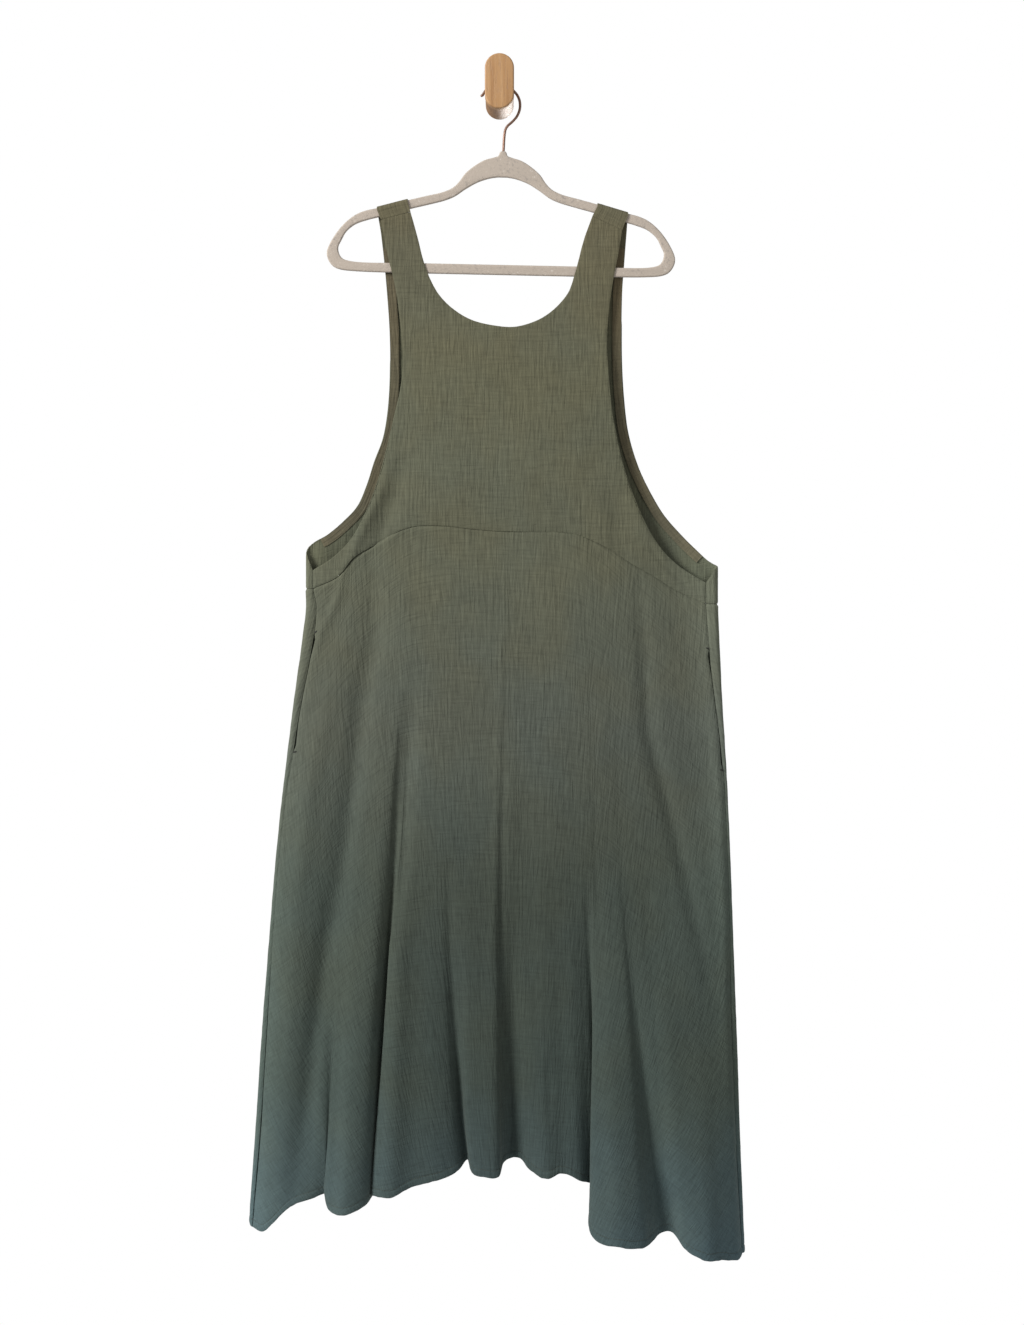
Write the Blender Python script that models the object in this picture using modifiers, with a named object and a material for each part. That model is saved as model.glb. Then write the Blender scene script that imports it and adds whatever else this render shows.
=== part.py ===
"""Tent dress of crinkled double gauze on a slim hanger, held by a round wooden wall hook.

Lengths are in millimetres and turned into metres where an object is made. +X is right as seen from
the front, +Y runs into the wall and +Z is up. The origin is the centre of the stem's back face, on
the wall. Left and right are those of the front view.
"""

import math

import bmesh
import bpy
from mathutils import Vector

MM = 0.001

# Cloth
CLOTH = 1.4
POCKET_CLOTH = 1.2
FACING_CLOTH = 1.0
SEAM_GAP = 0.4
SIDE_GAP = 0.5
LAYER_GAP = 0.3

# Hanger: a flat plate with rounded edges in the plane y = HANGER_Y, its crown at HANGER_TOP
HANGER_Y = -28.0
HANGER_TOP = (4.5, -73.7)
HANGER_TILT = 1.2
ARM_DROP = 65.0
HANGER_THICKNESS = 5.0
HANGER_ROUND = 2.0
NUB_HEIGHT = 6.4
NUB_HALF_WIDTH = 4.8

# Straps: they run over the arms on a curve round the plate's edge
STRAP_BEND = 3.7
STRAP_FRONT_Y = HANGER_Y - STRAP_BEND
STRAP_BACK_Y = HANGER_Y + STRAP_BEND
STRAP_LOW_Y = -22.9
STRAP_BACK_TOP = -172.0
STRAP_SETTLE_TOP = -155.0
STRAP_SETTLE_LENGTH = 35.0

# Depth of the dress at the empire seam: middle of the front and its sides
FRONT_MIDDLE_Y = -38.0
FRONT_SIDE_Y = -30.5
FRONT_CENTRE_X = 12.5
FRONT_HALF_WIDTH = 250.5
FRONT_BOW_TOP = -235.0
FRONT_BOW_LENGTH = 300.0
BACK_BOW_TOP = -240.0
BACK_BOW_LENGTH = 190.0

# Side seams of the bodice, which lie just inside the outline on the front
SEAM_LEFT_X = -238.0
SEAM_RIGHT_X = 263.0
UNDERARM_LEFT_Z = -602.0
UNDERARM_RIGHT_Z = -618.0

# Depth of the skirts at the hem, before their folds: middle and sides of the front, and the back
HEM_MIDDLE_Y = -62.0
HEM_SIDE_Y = -35.0
HEM_HALF_WIDTH = 314.0
HEM_SIDE_FALL = 3.0
BACK_HEM_Y = -12.0

# How fast folds deepen on their way to the hem, and how fast a fold laps over its neighbour
FOLD_GROWTH = 1.3
LAP_GROWTH = 1.5
BACK_FOLD_START = 0.1

# Pockets: the part of the side seam that stays open, as shares of the skirt's length
MOUTH_TOP = 0.075
MOUTH_END = 0.255
MOUTH_WIDTH = 2.2
BAG_TOP = 0.065
BAG_END = 0.37

# Point of each armhole table where the bodice is narrowest
NARROWEST = 4

# Reach of the back's cross-section that lies round each side, and how many of the back skirt's
# rows at each end go round it
SIDE_WRAP = 23.0
SIDE_FOLDS = 4

# Facets of the bodices: over each stretch of their width, down the straps and the chest, and on a
# back strap up in front of the arm, over it and on behind it
WRAP_COLUMNS = 7
ARMHOLE_COLUMNS = 8
STRAP_COLUMNS = 4
NECK_COLUMNS = 11
STRAP_ROWS = 8
CHEST_ROWS = 7
ARM_FRONT_ROWS = 2
ARM_BEND_ROWS = 5
ARM_ROWS = ARM_FRONT_ROWS + ARM_BEND_ROWS + 1

# Facets of the skirts: between two folds, and from the empire seam to the hem
SKIRT_SAMPLES = 2
SKIRT_ROWS = 12

# Facings inside the back's armholes
FACING_WIDTH = 11.0
FACING_INSET = 0.6
FACING_ROWS = 26
FACING_TOP_Z = -190.0
FACING_END_Z = {"left": -562.0, "right": -584.0}

# Where the bodices' straps meet the neckline, as shares of it, and where the columns beside the
# straps end on the empire seam
FRONT_NECK_SHARES = (0.30, 0.70)
FRONT_STOPS = (-118.0, -88.0, 100.0, 132.0)
BACK_NECK_SHARES = (0.26, 0.74)
BACK_STOPS = (-128.0, -95.0, 105.0, 142.0)

# Wire hook and wall hook
WIRE_DIAMETER = 3.4
STEM_RADIUS = 18.0
STEM_LENGTH = 42.0
PLATE_RADIUS = 18.5
PLATE_HEIGHT = 70.0
PLATE_BACK_Y = -38.0
PLATE_THICKNESS = 12.0
PLATE_ROUND = 2.0

# Facets of the hard parts
HANGER_OUTER_FACETS = 34
HANGER_INNER_FACETS = 28
WIRE_FACETS = 36
PLATE_END_FACETS = 17
STEM_FACETS = 40

# x, z
EMPIRE_SEAM = [
    (-238.0, -625.0), (-205.4, -609.5), (-185.5, -586.0), (-158.7, -569.5), (-130.4, -553.4),
    (-107.5, -546.3), (-73.1, -545.7), (-37.5, -549.5), (0.6, -552.7), (77.0, -554.2),
    (97.3, -556.5), (118.9, -564.9), (146.9, -579.2), (168.5, -594.1), (197.7, -610.5),
    (225.7, -628.0), (263.0, -644.5),
]

# x, z
FRONT_NECK = [
    (-113.5, -145.4), (-105.6, -174.0), (-92.8, -220.6), (-74.2, -254.6), (-40.4, -280.8),
    (-0.1, -291.0), (24.4, -291.0), (58.4, -277.8), (86.2, -250.5), (95.4, -226.8),
    (107.8, -180.5), (118.4, -151.0),
]

# x, z
FRONT_ARMHOLE_LEFT = [
    (-151.4, -155.1), (-143.3, -197.2), (-132.4, -243.4), (-125.8, -293.3), (-123.1, -334.4),
    (-126.0, -370.2), (-133.9, -405.8), (-142.8, -445.1), (-153.5, -484.4), (-166.0, -520.1),
    (-187.5, -561.2), (-212.4, -586.1), (SEAM_LEFT_X, UNDERARM_LEFT_Z),
]

# x, z
FRONT_ARMHOLE_RIGHT = [
    (156.4, -168.5), (151.2, -199.5), (145.2, -229.9), (140.2, -264.0), (136.8, -305.8),
    (138.6, -348.6), (142.2, -391.5), (149.3, -434.4), (160.0, -477.2), (172.6, -513.0),
    (186.8, -545.2), (204.6, -573.7), (226.0, -595.0), (247.5, -609.4),
    (SEAM_RIGHT_X, UNDERARM_RIGHT_Z),
]

# x, y of the back's cross-section under the arms, from the left side seam on the front, round the
# side, across the back and round the other side
BACK_SECTION = [
    (SEAM_LEFT_X - SIDE_GAP, -30.5), (-243.4, -30.5), (-246.9, -27.0), (-243.4, -23.4),
    (-225.0, -23.0), (-150.0, -21.5), (-60.0, -19.5), (12.0, -19.0), (80.0, -19.5), (170.0, -21.5),
    (250.0, -23.0), (274.6, -23.4), (278.1, -27.0), (274.6, -30.5), (SEAM_RIGHT_X + SIDE_GAP, -30.5),
]

# x, z
BACK_NECK = [
    (-116.0, STRAP_BACK_TOP), (-98.0, -226.0), (-78.0, -262.0), (-42.0, -290.0), (0.0, -300.0),
    (24.4, -300.0), (62.0, -287.0), (90.0, -257.0), (100.5, -226.0), (114.0, STRAP_BACK_TOP),
]

# x, z
BACK_ARMHOLE_LEFT = [
    (-151.5, STRAP_BACK_TOP), (-146.0, -223.0), (-141.0, -289.4), (-140.0, -332.5),
    (-140.6, -368.4), (-143.6, -404.3), (-149.0, -433.0), (-159.7, -461.7), (-168.7, -490.5),
    (-181.2, -519.1), (-199.2, -538.8), (-220.7, -556.8), (-236.8, -565.8),
]

# x, z
BACK_ARMHOLE_RIGHT = [
    (162.4, STRAP_BACK_TOP), (159.7, -206.9), (157.1, -240.0), (156.1, -282.2), (156.1, -332.5),
    (158.9, -382.8), (164.3, -425.9), (176.9, -468.4), (191.2, -499.2), (209.1, -529.8),
    (230.6, -555.0), (252.2, -576.5), (268.4, -590.9),
]

# Last stretch of each of the back's armholes, round the side
# distance from the side seam, z
WRAP_ARMHOLE_LEFT = [(12.0, -575.0), (6.5, -587.0), (0.0, UNDERARM_LEFT_Z)]
WRAP_ARMHOLE_RIGHT = [(12.0, -600.0), (6.5, -609.0), (0.0, UNDERARM_RIGHT_Z)]

# side, shoulder seam (outer x, outer z, inner x, inner z), strap over the arm (outer x, inner x)
SHOULDERS = {
    "left": ((-151.4, -155.1, -113.5, -145.4), (-156.4, -117.2)),
    "right": ((156.4, -168.5, 118.4, -151.0), (163.9, 125.0)),
}

# Front skirt, a row for each ridge and valley of its hem from left to right. Its line runs from
# `top` on the empire seam to `foot` on the hem and leans by `lean` half way down. `back` moves the
# foot sideways where a fold laps over its neighbour. The fold starts at the share `start` of the
# length and reaches the depth y at the hem, whose height is z.
# top, foot, lean, back, y, z, start
FRONT_FOLDS = [
    (-238.0, -314.4, -8.0, 0.0, -36.0, -1438.4, 0.00),
    (-229.0, -299.0, -8.0, 0.0, -50.0, -1439.0, 0.20),
    (-206.0, -263.6, -5.0, 0.0, -60.0, -1405.5, 0.30),
    (-188.0, -236.3, -4.0, 0.0, -57.0, -1395.1, 0.50),
    (-175.5, -220.6, -4.0, 0.0, -50.0, -1391.1, 0.60),
    (-165.0, -212.9, -4.0, 0.0, -61.0, -1408.7, 0.60),
    (-150.0, -195.4, -3.0, 0.0, -76.0, -1411.2, 0.50),
    (-127.0, -169.8, -4.0, 0.0, -68.0, -1401.8, 0.40),
    (-112.0, -158.5, -5.0, 0.0, -46.0, -1392.1, 0.28),
    (-104.0, -154.0, -6.0, 5.5, -33.0, -1387.1, 0.25),
    (-96.0, -150.0, -5.0, -11.3, -56.0, -1390.4, 0.25),
    (-88.5, -144.5, -6.0, -3.9, -69.0, -1390.8, 0.30),
    (-81.0, -135.6, -9.0, 0.0, -72.0, -1390.6, 0.35),
    (-69.5, -109.8, -14.0, 0.0, -64.0, -1379.2, 0.40),
    (-56.5, -72.2, -19.0, 0.0, -60.0, -1370.0, 0.45),
    (-48.0, -53.5, -22.0, 0.0, -54.0, -1361.9, 0.50),
    (-42.5, -40.6, -23.0, 0.0, -42.0, -1351.1, 0.50),
    (-35.0, -33.7, -18.0, 0.0, -60.0, -1362.5, 0.50),
    (-17.0, -18.0, -10.0, 0.0, -66.0, -1366.0, 0.45),
    (4.5, -1.9, -6.0, 0.0, -65.0, -1366.3, 0.20),
    (12.0, 4.8, -5.0, 0.0, -50.0, -1352.9, 0.35),
    (21.0, 13.4, -4.0, 0.0, -40.0, -1349.7, 0.40),
    (25.5, 26.0, -4.0, 0.0, -46.0, -1347.6, 0.45),
    (31.0, 38.0, -4.0, 0.0, -54.0, -1359.4, 0.50),
    (42.5, 59.3, -3.0, 0.0, -64.0, -1368.8, 0.50),
    (56.5, 78.9, -1.0, 0.0, -60.0, -1363.2, 0.55),
    (73.0, 100.3, 0.0, 0.0, -58.0, -1372.1, 0.55),
    (86.0, 114.5, 1.0, 4.1, -44.0, -1381.3, 0.52),
    (95.0, 119.0, 3.0, 14.3, -31.0, -1392.8, 0.50),
    (104.0, 121.1, 6.0, -8.2, -58.0, -1423.8, 0.50),
    (111.5, 126.3, 4.0, -6.6, -76.0, -1441.5, 0.50),
    (125.5, 147.7, 0.0, 0.0, -88.0, -1447.3, 0.45),
    (139.5, 180.1, -9.0, 0.0, -79.0, -1450.6, 0.45),
    (149.5, 193.2, -15.0, 0.0, -60.0, -1447.7, 0.45),
    (158.5, 203.9, -17.0, 0.0, -48.0, -1441.9, 0.45),
    (169.0, 218.5, -11.0, 0.0, -52.0, -1439.1, 0.45),
    (184.0, 234.6, -4.0, 0.0, -70.0, -1456.7, 0.40),
    (206.0, 261.0, 1.0, 0.0, -75.0, -1469.1, 0.40),
    (226.0, 279.6, 4.0, 0.0, -66.0, -1470.2, 0.35),
    (248.0, 300.9, 2.5, 0.0, -52.0, -1475.0, 0.30),
    (263.0, 308.8, 3.5, 0.0, -38.0, -1470.8, 0.00),
]

# Back skirt, from the left side seam on the front, round the side, across and round again. Its
# upper ends lie on the back's cross-section under the arms.
# top x, top y, foot, lean, y, z
BACK_FOLDS = [
    (SEAM_LEFT_X - SIDE_GAP, -30.5, -314.9, -8.0, -35.7, -1438.4),
    (-243.4, -30.5, -317.2, -7.5, -32.5, -1437.0),
    (-246.9, -27.0, -318.5, -7.0, -26.0, -1433.0),
    (-243.4, -23.4, -315.0, -7.0, -18.5, -1430.0),
    (-225.0, -23.0, -292.0, -6.0, -11.0, -1421.0),
    (-186.0, -22.3, -243.0, -5.0, -16.5, -1400.0),
    (-145.0, -21.4, -189.0, -4.0, -8.5, -1388.0),
    (-104.0, -20.5, -136.0, -3.0, -16.0, -1377.0),
    (-64.0, -19.6, -84.0, -2.0, -8.5, -1362.0),
    (-25.0, -19.2, -32.0, -1.0, -15.5, -1342.0),
    (14.0, -19.0, 19.0, 0.0, -8.0, -1338.0),
    (54.0, -19.3, 70.0, 1.0, -16.0, -1350.0),
    (95.0, -19.8, 122.0, 1.0, -8.5, -1378.0),
    (137.0, -20.7, 174.0, 2.0, -17.0, -1418.0),
    (180.0, -21.7, 224.0, 2.0, -9.5, -1430.0),
    (218.0, -22.4, 266.0, 2.0, -15.5, -1448.0),
    (250.0, -23.0, 294.0, 2.0, -11.5, -1460.0),
    (274.6, -23.4, 309.0, 1.0, -19.0, -1468.0),
    (278.1, -27.0, 312.0, 1.0, -27.0, -1470.0),
    (274.6, -30.5, 311.4, 2.5, -33.5, -1471.0),
    (SEAM_RIGHT_X + SIDE_GAP, -30.5, 309.3, 3.5, -37.7, -1470.8),
]

# How far the skirt's side seams lie off the even line from the underarm to the hem's corner: they
# run upright to the pocket's mouth, then out to the outline and down along it
# distance below the empire seam, x
SIDE_BEND_LEFT = [
    (0.0, 0.0), (30.0, 3.2), (60.0, 5.6), (88.0, 4.8), (118.0, 3.0), (170.0, 0.6), (212.0, -0.4),
    (272.0, -3.0), (336.0, -3.9), (389.0, -3.4), (570.0, -1.5), (820.0, 0.0),
]
SIDE_BEND_RIGHT = [
    (0.0, 0.0), (50.0, 0.0), (87.0, 0.6), (125.0, 2.8), (165.0, 5.2), (208.0, 7.0), (260.0, 6.8),
    (308.0, 6.0), (410.0, 4.5), (615.0, 2.0), (820.0, 0.0),
]
SIDE_LENGTH = 820.0

# How much of that bend the folds beside a seam take, from the seam inwards: front and back
FRONT_BEND_SHARES = (1.0, 0.5, 0.2)
BACK_BEND_SHARES = (1.0, 0.4)

# Right half of the hanger, x and z from the crown's top: its outer edge and its window
HANGER_OUTER = [
    (12.8, -2.0), (23.0, -5.0), (35.0, -12.0), (48.0, -23.0), (55.0, -33.0), (63.0, -41.0),
    (75.5, -47.0), (97.0, -52.5), (121.0, -58.6), (160.0, -69.4), (174.6, -73.0), (186.7, -78.3),
    (199.0, -88.0), (210.0, -101.0), (219.6, -117.5), (222.5, -126.6), (221.0, -135.4),
    (214.5, -144.4), (205.6, -148.3), (186.0, -150.3), (100.0, -151.4),
]
HANGER_INNER = [
    (6.0, -26.8), (16.6, -28.6), (32.0, -34.0), (48.0, -43.5), (60.0, -52.0), (72.5, -57.5), (94.0, -63.5),
    (117.5, -69.5), (158.0, -81.0), (171.0, -84.5), (186.7, -90.5), (198.0, -100.0),
    (204.0, -111.0), (208.0, -121.0), (204.0, -133.0), (193.0, -137.5), (100.0, -138.5),
]

# x, z of the wire's middle, from its flared tip over the stem and down to the hanger's nub
WIRE_ROUTE = [
    (-24.6, 4.0), (-22.2, 4.2), (-20.2, 7.0), (-16.6, 12.2), (-10.0, 17.8), (0.0, 20.2),
    (10.5, 17.6), (18.3, 9.8), (22.6, 4.6), (25.4, -1.8), (26.2, -8.3), (25.4, -14.9),
    (22.3, -22.3), (16.9, -28.8), (10.7, -34.3), (7.7, -39.0), (6.2, -47.0), (5.0, -66.8),
]


def clamp(value):
    return min(1.0, max(0.0, value))


def ease(value):
    """0 to 1 with level ends."""
    t = clamp(value)
    return t * t * (3.0 - 2.0 * t)


def spline(points, at):
    """Point of the centripetal curve through `points`, where point i lies at `at` = i."""
    i = min(int(at), len(points) - 2)
    b, c = Vector(points[i]), Vector(points[i + 1])
    a = Vector(points[i - 1]) if i else b * 2.0 - c
    d = Vector(points[i + 2]) if i + 2 < len(points) else c * 2.0 - b
    t1 = math.sqrt((b - a).length)
    t2 = t1 + math.sqrt((c - b).length)
    t3 = t2 + math.sqrt((d - c).length)
    t = t1 + (t2 - t1) * (at - i)
    ab = a * ((t1 - t) / t1) + b * (t / t1)
    bc = b * ((t2 - t) / (t2 - t1)) + c * ((t - t1) / (t2 - t1))
    cd = c * ((t3 - t) / (t3 - t2)) + d * ((t - t2) / (t3 - t2))
    abc = ab * ((t2 - t) / t2) + bc * (t / t2)
    bcd = bc * ((t3 - t) / (t3 - t1)) + cd * ((t - t1) / (t3 - t1))
    return abc * ((t2 - t) / (t2 - t1)) + bcd * ((t - t1) / (t2 - t1))


# Steps of a line from one of its points to the next
LINE_STEPS = 12


class Line:
    """A smooth line through points, read by its share of length or by its x."""

    def __init__(self, points, steps=LINE_STEPS):
        count = (len(points) - 1) * steps
        self.points = [spline(points, i / steps) for i in range(count + 1)]
        self.reach = [0.0]
        for a, b in zip(self.points, self.points[1:]):
            self.reach.append(self.reach[-1] + (b - a).length)

    def between(self, low, high, share):
        return self.points[low].lerp(self.points[high], share)

    def at_length(self, length):
        """Point at a distance along the line."""
        low, high = 0, len(self.points) - 1
        while high - low > 1:
            middle = (low + high) // 2
            if self.reach[middle] <= length:
                low = middle
            else:
                high = middle
        part = (length - self.reach[low]) / (self.reach[high] - self.reach[low])
        return self.between(low, high, clamp(part))

    def at(self, share):
        return self.at_length(clamp(share) * self.reach[-1])

    def at_x(self, x):
        """The other coordinate where the line, which runs to the right, passes x."""
        for a, b in zip(self.points, self.points[1:]):
            if a.x <= x < b.x:
                return a.lerp(b, (x - a.x) / (b.x - a.x)).y
        return (self.points[0] if x < self.points[0].x else self.points[-1]).y

    def length_at(self, x):
        """Distance along the line where it passes x on its middle stretch."""
        for i in range(len(self.points) - 1):
            a, b = self.points[i], self.points[i + 1]
            if a.x <= x < b.x:
                return self.reach[i] + (b - a).length * (x - a.x) / (b.x - a.x)
        return self.reach[-1]


def parted(points, at):
    """Both stretches of the line through `points`, which part at its point number `at`."""
    whole = Line(points).points
    cut = at * LINE_STEPS
    return Line(whole[: cut + 1], 1), Line(whole[cut:], 1)


def armholes(left, right, narrowest):
    """Upper and lower parts of both armholes; the lowers run from left to right."""
    left_upper, left_lower = parted(left, narrowest)
    right_upper, right_lower = parted(right, narrowest)
    return [left_upper, right_upper], [Line(left_lower.points[::-1], 1), right_lower]


EMPIRE = Line(EMPIRE_SEAM)
SECTION = Line(BACK_SECTION)
ARM_TOP = Line(HANGER_OUTER[:11])
SIDE_BENDS = (Line(SIDE_BEND_LEFT), Line(SIDE_BEND_RIGHT))


def arm_top(x):
    """Height of the hanger's upper edge."""
    tilt = math.radians(HANGER_TILT)
    offset = x - HANGER_TOP[0]
    along = abs(offset + ARM_DROP * math.sin(tilt))
    return HANGER_TOP[1] + ARM_TOP.at_x(along) - math.tan(tilt) * offset


def front_depth(x, z):
    """Depth of the front bodice: level with the straps above, bowed at the empire seam."""
    side = clamp(abs(x - FRONT_CENTRE_X) / FRONT_HALF_WIDTH)
    bowed = FRONT_MIDDLE_Y + (FRONT_SIDE_Y - FRONT_MIDDLE_Y) * side * side
    share = ease((FRONT_BOW_TOP - z) / FRONT_BOW_LENGTH)
    return STRAP_FRONT_Y + (bowed - STRAP_FRONT_Y) * share


def back_place(reach, z):
    """Point of the back bodice at a distance along its cross-section."""
    spot = SECTION.at_length(reach)
    settled = ease((STRAP_SETTLE_TOP - z) / STRAP_SETTLE_LENGTH)
    strap = STRAP_BACK_Y + (STRAP_LOW_Y - STRAP_BACK_Y) * settled
    depth = strap + (spot.y - strap) * ease((BACK_BOW_TOP - z) / BACK_BOW_LENGTH)
    return Vector((spot.x, depth, z))


class Bodice:
    """Flat plan of a bodice: two straps beside a neckline over one wide piece.

    Its columns run from left to right through five stretches: the left armhole, the left strap,
    the neckline, the right strap and the right armhole. The armholes' first `wrap` lies round the
    side, where the columns stand upright.
    """

    def __init__(self, neck, uppers, lowers, seam, neck_shares, wrap, seam_stops):
        self.neck, self.uppers, self.lowers, self.seam = neck, uppers, lowers, seam
        self.neck_shares, self.wrap = neck_shares, wrap
        self.wrap_columns = WRAP_COLUMNS if wrap else 0
        side = self.wrap_columns + ARMHOLE_COLUMNS
        self.stops = [0, self.wrap_columns, side, side + STRAP_COLUMNS]
        self.columns = 2 * self.stops[3] + NECK_COLUMNS
        self.stops += [self.columns - stop for stop in reversed(self.stops)]
        self.rows = STRAP_ROWS + CHEST_ROWS
        start, end = seam.points[0].x, seam.points[-1].x
        self.seam_stops = [start, start + wrap, *seam_stops, end - wrap, end]

    def open_cell(self, column, row):
        """Cells above the armholes and the neckline."""
        beside = column < self.stops[2] or column >= self.stops[5]
        inside = self.stops[3] <= column < self.stops[4]
        return row < STRAP_ROWS and (beside or inside)

    def bottom(self, column):
        """Point of the lower edge."""
        k = 0
        while k < 6 and (column > self.stops[k + 1] or self.stops[k] == self.stops[k + 1]):
            k += 1
        share = (column - self.stops[k]) / (self.stops[k + 1] - self.stops[k])
        x = self.seam_stops[k] + (self.seam_stops[k + 1] - self.seam_stops[k]) * share
        return Vector((x, self.seam.at_x(x)))

    def lower_armhole(self, side, column):
        """Point of an armhole's lower part, `column` counted from the side seam."""
        edge = self.lowers[side]
        if column < self.wrap_columns:
            rest = self.wrap * column / self.wrap_columns
            x = edge.points[0].x + rest if side == 0 else edge.points[-1].x - rest
            return Vector((x, edge.at_x(x)))
        share = (column - self.wrap_columns) / ARMHOLE_COLUMNS
        if side == 0:
            first = edge.length_at(edge.points[0].x + self.wrap) if self.wrap else 0.0
            return edge.at_length(first + (edge.reach[-1] - first) * share)
        last = edge.length_at(edge.points[-1].x - self.wrap) if self.wrap else edge.reach[-1]
        return edge.at_length(last * (1.0 - share))

    def top(self, column):
        """Point of the chest's upper edge: armhole, strap, neckline, strap, armhole."""
        stops = self.stops
        first, last = self.neck_shares
        if column <= stops[2]:
            return self.lower_armhole(0, column)
        if column >= stops[5]:
            return self.lower_armhole(1, self.columns - column)
        if column < stops[3]:
            return self.strap(0, (column - stops[2]) / STRAP_COLUMNS, 1.0)
        if column > stops[4]:
            return self.strap(1, (stops[5] - column) / STRAP_COLUMNS, 1.0)
        share = (column - stops[3]) / NECK_COLUMNS
        return self.neck.at(first + (last - first) * share)

    def strap(self, side, across, down):
        """Point of a strap, `across` from the armhole to the neckline."""
        first, last = self.neck_shares
        outer = self.uppers[side].at(down)
        inner = self.neck.at(first * down if side == 0 else 1.0 - (1.0 - last) * down)
        return outer.lerp(inner, across)

    def point(self, column, row):
        if row < STRAP_ROWS:
            if column <= self.stops[3]:
                return self.strap(0, (column - self.stops[2]) / STRAP_COLUMNS, row / STRAP_ROWS)
            return self.strap(1, (self.stops[5] - column) / STRAP_COLUMNS, row / STRAP_ROWS)
        return self.top(column).lerp(self.bottom(column), (row - STRAP_ROWS) / CHEST_ROWS)


def skirt_share(share, start):
    """How far a fold has grown at a share of the skirt's length."""
    return clamp((share - start) / (1.0 - start)) ** FOLD_GROWTH


def mouth(share):
    """How far the pocket's mouth stands open."""
    t = clamp((share - MOUTH_TOP) / (MOUTH_END - MOUTH_TOP))
    return MOUTH_WIDTH * math.sin(math.pi * t) ** 2


def bend_sides(row, share, parts_of_bend):
    """Moves the fold points beside both side seams with the seams."""
    for i, part in enumerate(parts_of_bend):
        row[i].x += SIDE_BENDS[0].at_x(share * SIDE_LENGTH) * part
        row[-1 - i].x += SIDE_BENDS[1].at_x(share * SIDE_LENGTH) * part


def front_skirt_row(share, open_mouths=True):
    """Fold points of the front skirt at a share of its length."""
    row = []
    for top, foot, lean, back, depth, hem, start in FRONT_FOLDS:
        grown = skirt_share(share, start)
        upper = front_depth(top, EMPIRE_SEAM[0][1])
        side = clamp(abs(foot) / HEM_HALF_WIDTH) ** HEM_SIDE_FALL
        lower = HEM_MIDDLE_Y + (HEM_SIDE_Y - HEM_MIDDLE_Y) * side
        x = top + (foot - top) * share + lean * 4.0 * share * (1.0 - share)
        x += back * grown**LAP_GROWTH
        y = upper + (lower - upper) * share + (depth - lower) * grown
        start_z = EMPIRE.at_x(top) - SEAM_GAP / 2.0
        row.append(Vector((x, y, start_z + (hem - start_z) * share)))
    bend_sides(row, share, FRONT_BEND_SHARES)
    if open_mouths:
        row[0].x += mouth(share)
        row[-1].x -= mouth(share)
    return row


def back_skirt_row(share):
    """Fold points of the back skirt at a share of its length."""
    row = []
    grown = skirt_share(share, BACK_FOLD_START)
    for i, (top_x, top_y, foot, lean, depth, hem) in enumerate(BACK_FOLDS):
        x = top_x + (foot - top_x) * share + lean * 4.0 * share * (1.0 - share)
        if SIDE_FOLDS <= i < len(BACK_FOLDS) - SIDE_FOLDS:
            middle = (top_y + BACK_HEM_Y) / 2.0
            y = top_y + (middle - top_y) * share + (depth - middle) * grown
        else:
            y = top_y + (depth - top_y) * share
        start_z = EMPIRE.at_x(top_x) - SEAM_GAP / 2.0
        row.append(Vector((x, y, start_z + (hem - start_z) * share)))
    bend_sides(row, share, BACK_BEND_SHARES)
    return row


def material(name, colour, roughness, metallic=0.0):
    made = bpy.data.materials.new(name)
    made.use_nodes = True
    shader = made.node_tree.nodes["Principled BSDF"]
    shader.inputs["Base Color"].default_value = (*colour, 1.0)
    shader.inputs["Roughness"].default_value = roughness
    shader.inputs["Metallic"].default_value = metallic
    made.diffuse_color = (*colour, 1.0)
    return made


def finish(name, data, surface):
    """New object from a mesh or curve, in the dress's collection."""
    made = bpy.data.objects.new(name, data)
    parts.objects.link(made)
    data.materials.append(surface)
    return made


def sheet(name, columns, rows, place, surface, thickness=CLOTH, open_cell=None):
    """Cloth wall: a grid whose points `place` puts in space, given a thickness."""
    grid = bmesh.new()
    bmesh.ops.create_grid(grid, x_segments=columns, y_segments=rows, size=0.5)
    spots = {}
    for point in grid.verts:
        spots[point] = (round((point.co.x + 0.5) * columns), round((0.5 - point.co.y) * rows))
    if open_cell:
        cut = []
        for face in grid.faces:
            column = min(spots[point][0] for point in face.verts)
            row = min(spots[point][1] for point in face.verts)
            if open_cell(column, row):
                cut.append(face)
        bmesh.ops.delete(grid, geom=cut, context="FACES")
    for point in grid.verts:
        point.co = place(*spots[point]) * MM
    data = bpy.data.meshes.new(name)
    grid.to_mesh(data)
    grid.free()
    data.shade_smooth()
    made = finish(name, data, surface)
    wall = made.modifiers.new("wall", "SOLIDIFY")
    wall.thickness = thickness * MM
    wall.offset = 0.0
    return made


def front_plan():
    """Flat plan of the front bodice, in its own x and z."""
    seam = Line([(x, z + SEAM_GAP / 2.0) for x, z in EMPIRE_SEAM])
    neck = Line([(x, z - SEAM_GAP / 2.0) for x, z in FRONT_NECK])
    uppers, lowers = armholes(FRONT_ARMHOLE_LEFT, FRONT_ARMHOLE_RIGHT, NARROWEST)
    return Bodice(neck, uppers, lowers, seam, FRONT_NECK_SHARES, 0.0, FRONT_STOPS)


def front_place(x, z):
    return Vector((x, front_depth(x, z), z))


def make_front_bodice():
    """Front with its straps, from the shoulder seams to the empire seam."""
    plan = front_plan()

    def place(column, row):
        spot = plan.point(column, row)
        return front_place(spot.x, spot.y)

    return sheet("front_bodice", plan.columns, plan.rows, place, gauze, open_cell=plan.open_cell)


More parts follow.
